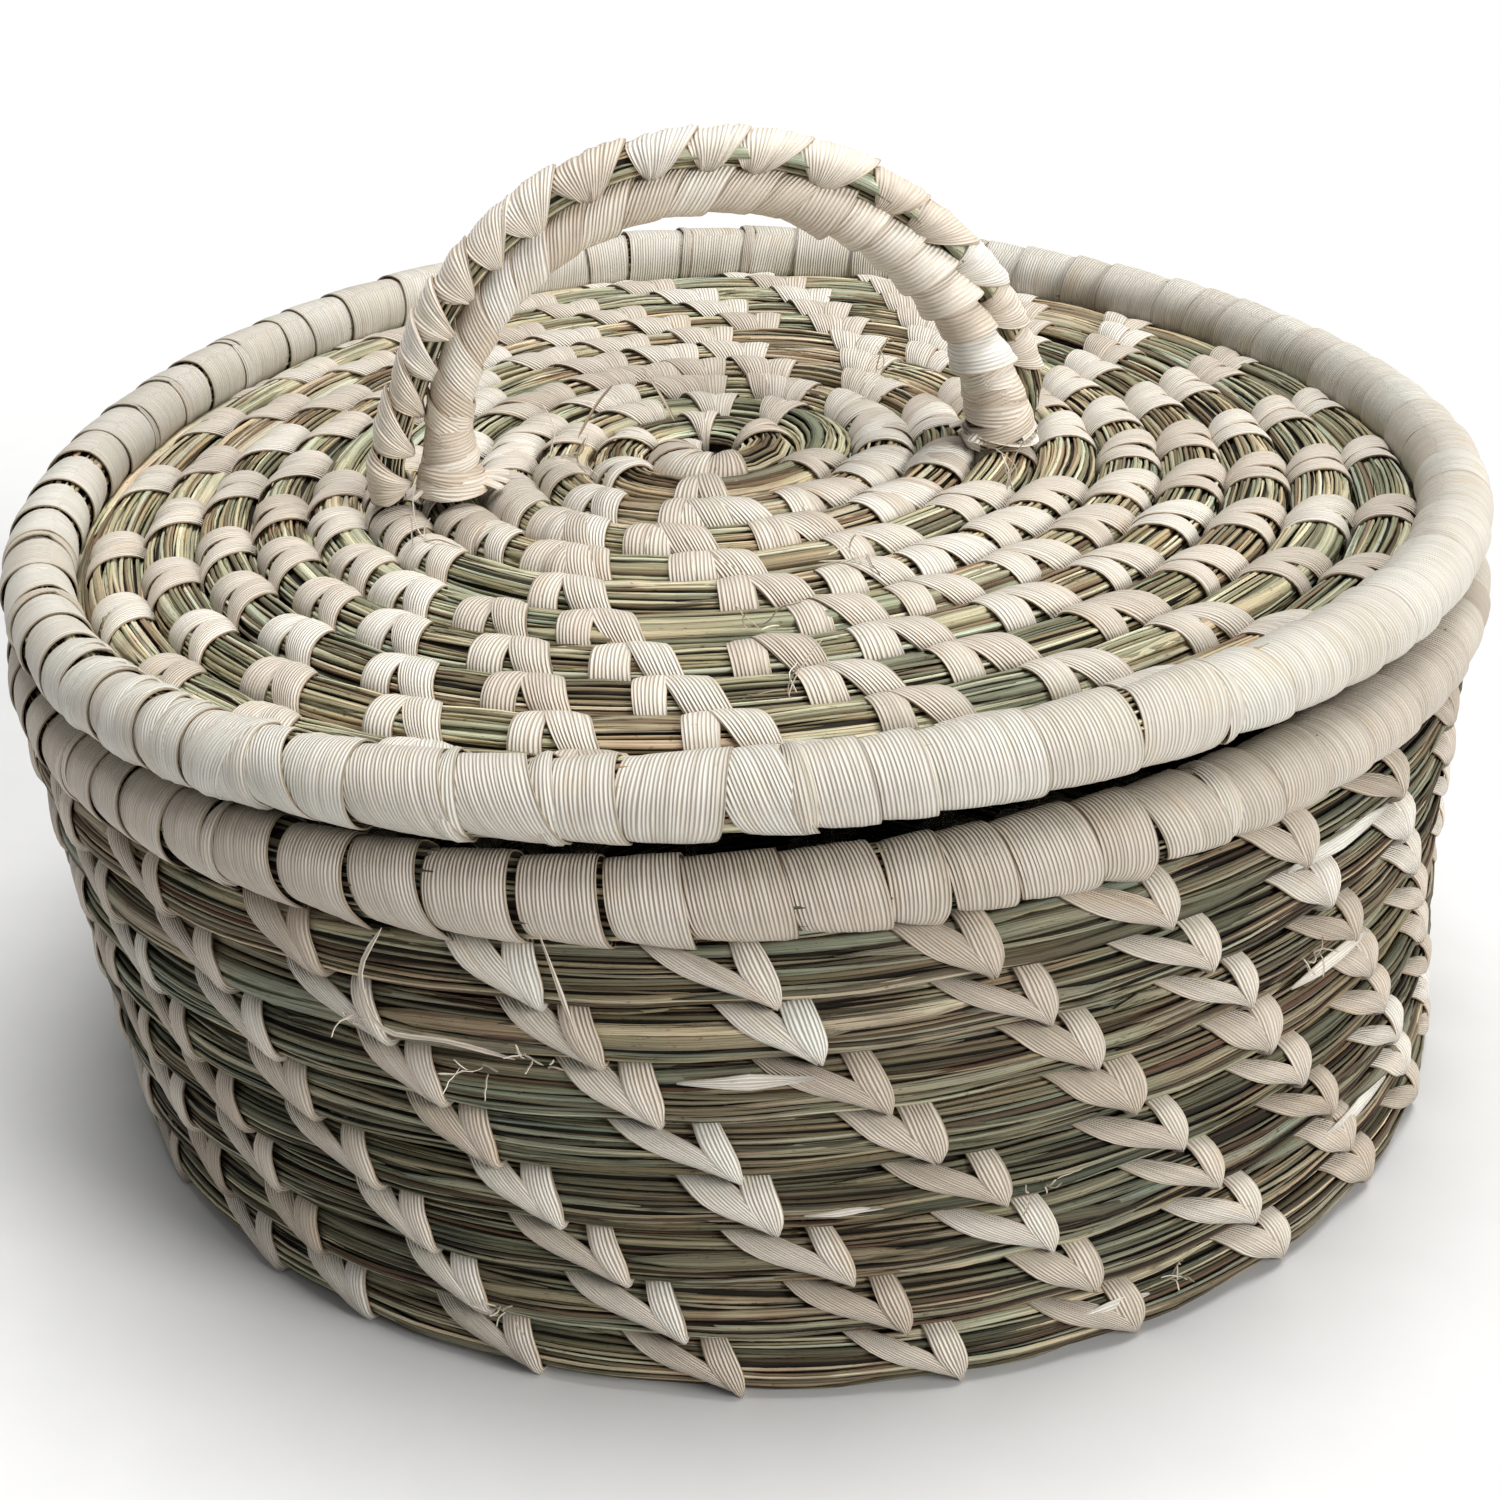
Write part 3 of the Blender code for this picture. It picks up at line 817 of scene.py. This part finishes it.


# The basket's grass is a darker copy of the lid's, with deeper streaks (dark): painted shade.
SHADED_GRASS = grass_material("wall_grass_shaded", brighter(SHADED_GRASS_STOPS, 0.9), dark=0.3)
LID_GRASS = grass_material("lid_grass", brighter(LID_GRASS_STOPS, 1.32), dark=0.62)
# The inside of every bundle is coloured near black: painted shade among the blades.
CORE_SHADE = core_shade_material()
LEAF = leaf_material("wall_leaf", brighter(LEAF_STOPS, 1.27), 1.35, fleck_share=0.6)
LID_LEAF = leaf_material("lid_leaf", brighter(LEAF_STOPS, 1.2), 1.35, 0.5, rib_shade_and_depth=0.6)
HANDLE_LEAF = leaf_material("handle_leaf", brighter(LEAF_STOPS, 1.36), 1.1, 0.5, rib_shade_and_depth=0.4)
RIM_LEAF = leaf_material("body_rim_leaf", brighter(LEAF_STOPS, 1.04), 1.45, 0.4, rib_shade_and_depth=0.6)
LID_RIM_LEAF = leaf_material("lid_rim_leaf", brighter(RIM_STOPS, 0.94), 1.45, 0.4, rib_shade_and_depth=0.45)


# ---------------------------------------------------------------- coils of grass

def coil_pieces(node, path, arcs, body, spacing, pieces=1, shrink=COIL_SHRINK, longest=260.0,
                step=5.5):
    """The blades and the core of one coil, split along its length."""
    prefix = node.removesuffix("_coil")
    material = SHADED_GRASS if body == "basket" else LID_GRASS
    edges = np.linspace(0.0, path["length"], pieces + 1)
    for index in range(pieces):
        shape = Shape()
        overlap = 20.0 if index < pieces - 1 else 0.0
        span = (edges[index], edges[index + 1] + overlap)
        blades = random_blades(path, arcs, spacing, span, 60.0, longest)
        blade_tubes(shape, path, blades, step)
        shape.make(f"{prefix}_grass_{index + 1}", material, body, "dry_grass", (node,))
    core_tube(path, shrink).make(f"{prefix}_core", CORE_SHADE, body, "dry_grass", (node,))


def wall_plan(path):
    """Places along the coil where the stitches of each column start."""
    columns = []
    for column in range(WALL_COLUMNS):
        home = WALL_FIRST + 360.0 / WALL_COLUMNS * column
        if home < 0.0:          # the columns at the front stand a little further round
            home += 4.5 * math.exp(-(((home + 78.0) / 32.0) ** 4))
        angle = math.radians(home + near(0.8))
        places = []
        for level in range(WALL_ROWS, 0, -1):
            here = angle + WALL_LEAN * (WALL_ROWS - 2.0 - level) + near(0.005)
            turns = np.mod(STEP_START - here, TURN) / TURN + level - 1.0
            if turns > 0.11:
                places.append(float(s_at_turns(path, turns)))
        columns.append(places)
    return columns


# Legs of a wall stitch: start and stop along the coil from its corner, then the ranges
# of its width, its lift and its width shares in the two grooves, and how it bends
OPEN_STITCH = (
    ((-2.0, -18.5), (7.6, 9.8), (0.8, 1.0), (0.8, 1.0), (0.06, 0.16),
     {"twist": 0.3, "cup": 0.4, "petal": 1.2, "early": 0.76}),
    ((-14.0, -19.5), (5.0, 6.5), (0.95, 1.25), (0.8, 1.0), (0.1, 0.22),
     {"twist": -0.35, "cup": 0.4, "petal": 1.1, "early": 0.8, "columns": 7}),
)
PETAL_STITCH = (
    ((2.0, -20.5), (8.0, 10.4), (0.8, 1.0), (0.12, 0.3), (0.06, 0.16),
     {"twist": 0.5, "ease": 0.35, "cup": 0.45, "petal": 1.2, "early": 0.78}),
    ((-14.5, -21.0), (4.5, 6.0), (0.95, 1.3), (0.5, 0.9), (0.08, 0.2),
     {"twist": -0.45, "cup": 0.4, "petal": 1.1, "early": 0.8, "columns": 7}),
)
OPEN_SHARE = 0.45


def wall_sewing(path, columns):
    """Slanting columns of split stitches; each stitch is a V of two legs."""
    for number, places in enumerate(columns, 1):
        shape = Shape()
        for corner in places:
            tint = draw(0.15, 0.85)
            skew = near(0.6)
            legs = OPEN_STITCH if RNG.random() < OPEN_SHARE else PETAL_STITCH
            for leg, ((start, stop), width, lift, top, foot, bend) in enumerate(legs):
                drawn = draw(*width), draw(*lift)
                shade = tint + near(0.1) if leg else tint
                leaf_loop(shape, path, corner + start, corner + stop + skew, GROOVE_WALL, *drawn,
                          shade, ends=(draw(*top), draw(*foot)), **bend)
        shape.make_leaf(f"wall_stitches_{number:02d}", LEAF, "basket",
                        (f"wall_stitch_{number:02d}",))


def lid_crossing(angle, row):
    """Turns along the lid's spiral at which a leaning arm crosses a row."""
    turns = row + angle / TURN
    for _ in range(6):
        lean = LID_SWIRL * math.log(DISC_PITCH * turns / LID_EDGE)
        turns = row + (angle + lean) / TURN
    return turns


def lid_stitch(shape, path, s, size):
    """One split stitch of the lid: legs that part towards the outer groove."""
    tint = draw(0.35, 1.0)
    skew = near(0.6)
    leaf_loop(shape, path, s + 1.0, s + 3.0 * size + skew, GROOVE_LID, size * draw(6.0, 7.5),
              draw(0.75, 0.95), tint, ends=(draw(0.3, 0.5), draw(0.75, 1.0)), columns=7,
              twist=0.3, cup=0.35, petal=1.1)
    leaf_loop(shape, path, s + 3.5 * size, s + 13.5 * size + skew, GROOVE_LID,
              size * draw(7.5, 9.0), draw(0.9, 1.15), tint + draw(-0.12, 0.12), columns=7,
              ends=(draw(0.25, 0.4), draw(0.65, 0.95)), twist=-0.3, cup=0.35, petal=1.1)


def lid_plan(path):
    """Where the stitches of each arm of the lid are, and those off the arms."""
    full_turns = (LID_EDGE - DISC_TUBE) / DISC_PITCH
    angles = [LID_ARM_START + TURN * arm / LID_ARMS for arm in range(LID_ARMS)]
    outermost = [math.floor(full_turns - angle / TURN) for angle in angles]
    arms = []
    for arm, angle in enumerate(angles):
        rows = LID_LONG_ROWS
        if arm % 2 or arm == LID_ARMS - 1:
            rows = LID_SHORT_ROWS[(arm // 2) % len(LID_SHORT_ROWS)]
        places = []
        for row in range(rows + 1):
            turns = lid_crossing(angle, outermost[arm] - row)
            places.append(s_at_turns(path, turns) - 7.0 + near(0.7))
        arms.append(places)
    others = []
    for arm, angle in enumerate(angles):        # the tapering last turn, beside the rim
        turns = lid_crossing(angle, outermost[arm] + 1)
        if turns < full_turns + 0.5:
            others.append(s_at_turns(path, turns) - 6.0 + near(0.7))
    for row, count in enumerate((6, 10, 13, 14), 1):
        for k in range(count):
            turns = row + 0.06 * row + k / count
            if turns < 4.8:
                others.append(s_at_turns(path, turns) + near(1.0))
    return arms, others


def lid_sewing(path, arms):
    """The curving arms of stitches, one piece each."""
    for number, places in enumerate(arms, 1):
        shape = Shape()
        for place in places:
            lid_stitch(shape, path, place, 1.0)
        shape.make_leaf(f"lid_stitches_{number:02d}", LID_LEAF, "lid",
                        (f"lid_stitch_{number:02d}",))


def lid_other_sewing(path, places):
    """Stitches off the arms, smaller in the middle, and the wrapped start of the coil."""
    shape = Shape()
    for place in places:
        lid_stitch(shape, path, place, float(np.interp(place, (60.0, 260.0), (0.45, 0.85))))
    s = 0.5
    while s < 26.0:
        width = draw(4.0, 7.0)
        leaf_loop(shape, path, s, s + 1.5, 0.0, width, 0.6, draw(0.3, 0.9),
                  ends=(0.9, 0.9), shingle=0.5, columns=7, steps=20)
        s += width - 1.5
    shape.make_leaf("lid_small_stitches", LID_LEAF, "lid")


def base_sewing(path):
    """Evenly spaced stitches on the base, each of two strips."""
    shape = Shape()
    for row in range(1, 10):
        count = round(TURN * row * DISC_PITCH / 30.0)
        for k in range(count):
            turns = row + k / count + 0.045 * row
            s = s_at_turns(path, turns)
            tint = draw(0.1, 0.7)
            for start, stop, lift in ((0.0, 4.0, 0.5), (4.0, 12.0, 0.6)):
                leaf_loop(shape, path, s + start, s + stop, math.pi, 7.5, lift, tint, columns=6,
                          steps=22, turning=1.0)
    shape.make_leaf("base_stitches", LEAF, "basket", ("base_coil",))


def rim_wraps(path, body, node, material, widest, slant, paler, tuck):
    """Leaf strips wound side by side all round a rim, each lapping the next."""
    widths = []
    while sum(widths) < path["length"]:
        widths.append(draw(NARROWEST_WRAP, widest))
    widths = np.array(widths) * path["length"] / sum(widths)
    s = 0.0
    shapes = [Shape() for _ in range(RIM_PIECES)]
    for index, width in enumerate(widths):
        shape = shapes[min(RIM_PIECES - 1, int(RIM_PIECES * index / len(widths)))]
        degrees = 360.0 * s / path["length"]
        if body == "lid" and LID_SPLICE[0] < degrees < LID_SPLICE[1]:
            for _ in range(2):
                leaf_loop(shape, path, s + draw(0.0, width), s + draw(0.0, width),
                          math.pi * 0.7, draw(5.0, 8.0), draw(0.8, 1.2),
                          draw(0.7, 1.0), ends=(0.5, 0.6), cup=0.35, steps=36, columns=7,
                          twist=0.5, crease=0.15, petal=1.0)
        if RNG.random() < 0.14:         # a narrow twisted wrap on top
            leaf_loop(shape, path, s - 1.0, s + 1.5, GROOVE_RIM, draw(3.5, 5.5),
                      0.95, draw(0.2, 0.9), ends=(0.6, 0.4), cup=0.3, steps=32, columns=6,
                      twist=0.4, petal=1.0)
        gappy = body == "basket" and BODY_GAPS[0] < degrees < BODY_GAPS[1]
        gap = draw(-2.2, 0.4)
        if RNG.random() < (0.28 if gappy else 0.12):
            gap = draw(0.9, 2.4)
        lean = slant + near(1.2)
        tint = np.clip(paler + near(0.13), 0.0, 1.0)
        middle = s + width / 2.0
        leaf_loop(shape, path, middle - lean, middle + lean, GROOVE_RIM, width - gap,
                  draw(0.3, 0.42), tint, ends=(1.0, draw(0.82, 1.0)), back=0.95,
                  shingle=0.85, cup=0.22, steps=40, columns=max(9, int(width)), crease=0.05,
                  tuck=draw(0.0, tuck))
        s += width
    for number, shape in enumerate(shapes, 1):
        shape.make_leaf(f"{node}_wraps_{number}", material, body, (node,), "rim_leaf")


def handle_wraps(inner, outer):
    """The close turns of the inner coil and the fans of leaf of the outer one."""
    shape = Shape()
    s = 2.0
    while s < inner["length"] - 12.0:
        width = draw(8.5, 12.0)
        low = s > 0.62 * inner["length"]
        cone = draw(1.6, 2.6) if low else draw(0.6, 1.3)
        lean = 2.0 if low else 4.5
        leaf_loop(shape, inner, s + lean, s - lean, 0.0, width, draw(0.35, 0.5),
                  draw(0.2, 0.95), ends=(0.95, 0.95), back=0.95, shingle=cone, cup=0.08,
                  steps=30, columns=9, crease=0.12 if low else 0.06)
        s += width - draw(1.5, 3.0)
    shape.make_leaf("handle_inner_wraps", HANDLE_LEAF, "lid", ("handle_inner_coil",))
    shape = Shape()
    s = 4.0

    def fan(phi):
        return 0.16 + 0.84 * ((1.0 + np.cos(phi)) / 2.0) ** 0.8

    while s < outer["length"] - 6.0:
        width = draw(9.5, 17.0)
        lean = draw(0.5, 4.5)
        leaf_loop(shape, outer, s + lean, s - lean, 0.0, width, draw(0.4, 0.55),
                  draw(0.3, 0.9), shingle=draw(0.5, 1.3), cup=0.3, steps=30,
                  columns=13, fan=fan, crease=0.3)
        s += width - draw(2.0, 3.0)
    shape.make_leaf("handle_outer_wraps", HANDLE_LEAF, "lid", ("handle_outer_coil",))


def handle_feet(inner):
    """Binding round each foot of the handle, with leaf ends that lie on the lid."""
    for side, base in (("left", 0.0), ("right", inner["length"])):
        sign = 1.0 if side == "left" else -1.0
        shape = Shape()
        for turn in range(6):
            s = base + sign * (0.5 + 3.2 * turn)
            flare = 2.6 * (1.0 - turn / 5.0) ** 1.5
            leaf_loop(shape, inner, s - 1.5, s + 1.5, draw(0.0, TURN),
                      draw(4.5, 7.0), 1.2 + flare, draw(0.2, 0.8), ends=(0.8, 0.6),
                      shingle=-0.9 * sign, columns=7, steps=26, twist=0.3)
        foot = look_up(inner, np.array([base]))[0, 0:3]
        for _ in range(5):
            turn = draw(0.0, TURN)
            out = outward(turn)
            start = foot + out * 3.5 + [0.0, 0.0, 2.0]
            end = start + out * draw(5.0, 10.0)
            end[2] = lid_level(start[0], start[1]) + DISC_TUBE + 1.0 + draw(0.0, 1.5)
            free_strip(shape, [start, (start + end) / 2.0 + [0.0, 0.0, 0.8], end],
                       draw(1.5, 4.0), draw(0.2, 0.9))
        shape.make_leaf(f"handle_binding_{side}", HANDLE_LEAF, "lid", (f"handle_lashing_{side}",))


def wall_place(degrees, z, lift):
    """A point just off the outside of the wall."""
    angle = math.radians(degrees)
    return wall_point(wall_radius(z) + lift, angle, z)


def curled_hair(shape, start, away, size, tint):
    """A thin frayed fibre that curls away from where it is held."""
    away = unit(np.array(away, float))
    side = unit(np.cross(away, near(1.0, 3)))
    points = [np.array(start, float)]
    turn = draw(-0.7, 0.7)
    direction = away + side * 0.4
    for _ in range(5):
        points.append(points[-1] + unit(direction) * size / 5.0)
        direction = direction + side * turn + near(0.2, 3)
    free_strip(shape, points, HAIR_WIDTH, tint, up=side + 0.1, columns=3, curl=0.2, thick=0.15)


def off_wall(degrees, rise):
    """Direction away from the wall, with a little rise."""
    return outward(math.radians(degrees)) + [0.0, 0.0, rise]


# Two hanging strands as degrees, height and distance from the wall; frayed tufts as degrees
# and height; split straws as degrees, height, length and width
LONG_STRAND = ((-112.9, 101.0, 1.2), (-114.9, 91.0, 2.6), (-114.0, 80.0, 3.2), (-109.5, 79.0, 2.4),
               (-105.0, 76.0, 1.4))
SHORT_STRAND = ((-102.2, 103.0, 0.6), (-101.4, 95.0, 1.8), (-100.8, 87.0, 2.2), (-100.4, 80.0, 2.0))
WALL_TUFTS = ((-104.0, 75.5), (-108.5, 72.0), (-109.5, 15.0), (-117.0, 79.0), (-46.0, 66.0),
              (-70.0, 40.0), (-60.0, 12.0), (60.0, 70.0), (150.0, 50.0))
SPLIT_STRAWS = ((-94.5, 71.5, 23.0, 3.2), (-87.0, 42.0, 14.0, 1.5), (-50.0, 88.0, 32.0, 4.8),
                (-48.0, 62.0, 26.0, 3.4), (-43.0, 22.0, 28.0, 4.0), (-68.0, 9.0, 16.0, 2.4),
                (40.0, 60.0, 18.0, 3.0), (170.0, 70.0, 20.0, 3.2))
LID_TUFTS = ((-38.0, -4.0), (-30.0, -16.0), (22.0, -62.0), (4.0, -88.0), (-62.0, -40.0),
             (52.0, -30.0), (30.0, 40.0), (-70.0, 60.0), (10.0, -112.0))


def loose_wall_bits():
    """Loose leaf ends, frayed tufts and split straws on the outside of the wall."""
    shape = Shape()
    line = [wall_place(*place) for place in LONG_STRAND]
    free_strip(shape, line, 0.8, 0.4, off_wall(-110.0, 0.2))
    line = [wall_place(*place) for place in SHORT_STRAND]
    free_strip(shape, line, 1.0, 0.3, (-0.2, -1.0, 0.2), point=1.5)
    for degrees, z in WALL_TUFTS:
        for _ in range(6):
            start = wall_place(degrees + draw(-1.2, 1.2), z + draw(-1.5, 1.5), 0.3)
            aim = off_wall(degrees, 0.1) + near(0.9, 3)
            curled_hair(shape, start, aim, draw(2.5, 6.5), draw(0.1, 0.8))
    shape.make_leaf("wall_loose_ends", LEAF, "basket")
    shape = Shape()
    for degrees, z, length, width in SPLIT_STRAWS:
        spread = math.degrees(length / 146.0)
        line = [wall_place(degrees + spread * share, z + draw(-0.3, 0.3), 0.2)
                for share in (0.0, 0.35, 0.7, 1.0)]
        free_strip(shape, line, width, draw(0.8, 1.0), off_wall(degrees, 0.0), columns=5,
                   curl=0.15, point=draw(1.8, 3.0))
    shape.make_leaf("wall_split_straws", LEAF, "basket", slot="dry_grass")


def loose_lid_bits():
    """Stray fibres and frayed tufts on the lid."""
    shape = Shape()
    for x, y in LID_TUFTS:
        level = lid_level(x, y) + DISC_TUBE + 0.2
        for _ in range(4):
            start = np.array([x + draw(-2.0, 2.0), y + draw(-2.0, 2.0), level])
            aim = np.array([0.0, 0.0, 0.7]) + near(0.8, 3) * [1.0, 1.0, 0.4]
            curled_hair(shape, start, aim, draw(6.0, 12.0), draw(0.3, 0.9))
    for start, aim in (((-34.0, 6.0), (0.7, 0.1)), ((-14.0, 12.0), (-0.6, 0.2))):
        level = lid_level(*start) + DISC_TUBE
        line = []
        for share in (0.0, 0.33, 0.66, 1.0):
            line.append((start[0] + 11.0 * share * aim[0], start[1] + 11.0 * share * aim[1],
                         level + 15.0 * share - 4.0 * share * share))
        free_strip(shape, line, 0.6, 0.0, (0.0, -1.0, 0.3), columns=3)
    shape.make_leaf("lid_loose_ends", LID_LEAF, "lid")


# ---------------------------------------------------------------- build

WALL = wall_path()
BASE = disc_path(BASE_EDGE, True, base_place, BASE_SECTION)
LID = disc_path(LID_EDGE, False, lid_place, LID_SECTION)
BODY_RING = rim_path(BODY_RIM, BODY_TILT, BODY_SADDLE, BODY_RIM_TUBE)
LID_RING = rim_path(LID_RIM, LID_TILT, LID_SADDLE, LID_RIM_TUBE)
INNER = handle_path(INNER_ARCH, False, INNER_TUBE)
OUTER = handle_path(OUTER_ARCH, True, OUTER_TUBE)

WALL_PLAN = wall_plan(WALL)
LID_PLAN, LID_OTHERS = lid_plan(LID)
squeeze(WALL, [place + WALL_PULL for column in WALL_PLAN for place in column], reach=10.0)
squeeze(LID, [place + LID_PULL for arm in LID_PLAN + [LID_OTHERS] for place in arm], reach=9.0)
for ring in (BODY_RING, LID_RING, INNER, OUTER):
    ring["squeeze"] = np.full(len(ring["s"]), WRAPPED_IN)

# The blades cover the two faces of a coil that its neighbours leave free
FACE = math.radians(82.0)
WALL_ARCS = [(middle - FACE, middle + FACE) for middle in (0.0, math.pi)]
LID_ARCS = [(middle - FACE, middle + FACE) for middle in (math.pi / 2, -math.pi / 2)]
ALL_ROUND = [(0.0, TURN)]
coil_pieces("wall_coil", WALL, WALL_ARCS, "basket", spacing=0.76, pieces=6)
coil_pieces("lid_coil", LID, LID_ARCS, "lid", spacing=0.72, pieces=5)
coil_pieces("base_coil", BASE, LID_ARCS, "basket", spacing=1.3, pieces=2, longest=200.0, step=7.0)
coil_pieces("body_rim", BODY_RING, ALL_ROUND, "basket", spacing=1.4, longest=200.0, step=8.0)
coil_pieces("lid_rim", LID_RING, ALL_ROUND, "lid", spacing=1.4, longest=200.0, step=8.0)
for node, path in (("handle_inner_coil", INNER), ("handle_outer_coil", OUTER)):
    coil_pieces(node, path, ALL_ROUND, "lid", spacing=1.1, shrink=HANDLE_SHRINK, longest=90.0,
                step=4.0)

wall_sewing(WALL, WALL_PLAN)
lid_sewing(LID, LID_PLAN)
lid_other_sewing(LID, LID_OTHERS)
base_sewing(BASE)
rim_wraps(BODY_RING, "basket", "body_rim", RIM_LEAF, widest=16.0, slant=2.2, paler=0.48, tuck=2.6)
rim_wraps(LID_RING, "lid", "lid_rim", LID_RIM_LEAF, widest=19.0, slant=1.5, paler=0.68, tuck=0.8)
handle_wraps(INNER, OUTER)
handle_feet(INNER)
loose_wall_bits()
loose_lid_bits()


# ---------------------------------------------------------------- stage, light and camera

def make_floor():
    """A pale sheet of paper, far wider than the view."""
    half = FLOOR_HALF
    mesh = bpy.data.meshes.new("floor")
    corners = [(-half, -half, 0.0), (half, -half, 0.0), (half, half, 0.0), (-half, half, 0.0)]
    mesh.from_pydata(corners, [], [(0, 1, 2, 3)])
    n = Nodes("floor_paper")
    grain = n.noise(n.add("TexCoord").outputs["Object"], (60.0, 60.0, 60.0), 3.0, 0.5)
    n.surface(n.ramp(grain, [(0.3, (0.67, 0.67, 0.67)), (0.7, (0.69, 0.69, 0.69))]), 0.9)
    mesh.materials.append(n.material)
    floor = put("floor", mesh)


def make_light():
    """An even sky and two wide soft suns."""
    world = bpy.data.worlds.new("studio")
    world.use_nodes = True
    back = world.node_tree.nodes["Background"]
    back.inputs["Color"].default_value, back.inputs["Strength"].default_value = SKY
    bpy.context.scene.world = world
    bpy.context.scene.view_settings.view_transform = "Standard"
    for name, (towards, energy, angle, colour) in SUNS.items():
        light = bpy.data.lights.new(name, "SUN")
        light.energy = energy
        light.angle = math.radians(angle)
        light.color = colour
        item = put(name, light)
        item.rotation_mode = "QUATERNION"
        item.rotation_quaternion = Vector(towards).to_track_quat("Z", "Y")


def make_camera():
    """The photo's camera, which looks down at the basket from the front."""
    data = bpy.data.cameras.new("camera")
    data.lens = CAMERA_LENS
    data.sensor_width = 36.0
    data.clip_start = 0.01
    camera = put("camera", data)
    turned = Matrix.Rotation(-CAMERA_YAW, 4, "Z")
    turned = turned @ Matrix.Rotation(math.pi / 2.0 - CAMERA_PITCH, 4, "X")
    turned = turned @ Matrix.Rotation(CAMERA_ROLL, 4, "Z")
    camera.matrix_world = Matrix.Translation(CAMERA_PLACE) @ turned
    bpy.context.scene.camera = camera


make_floor()
make_light()
make_camera()
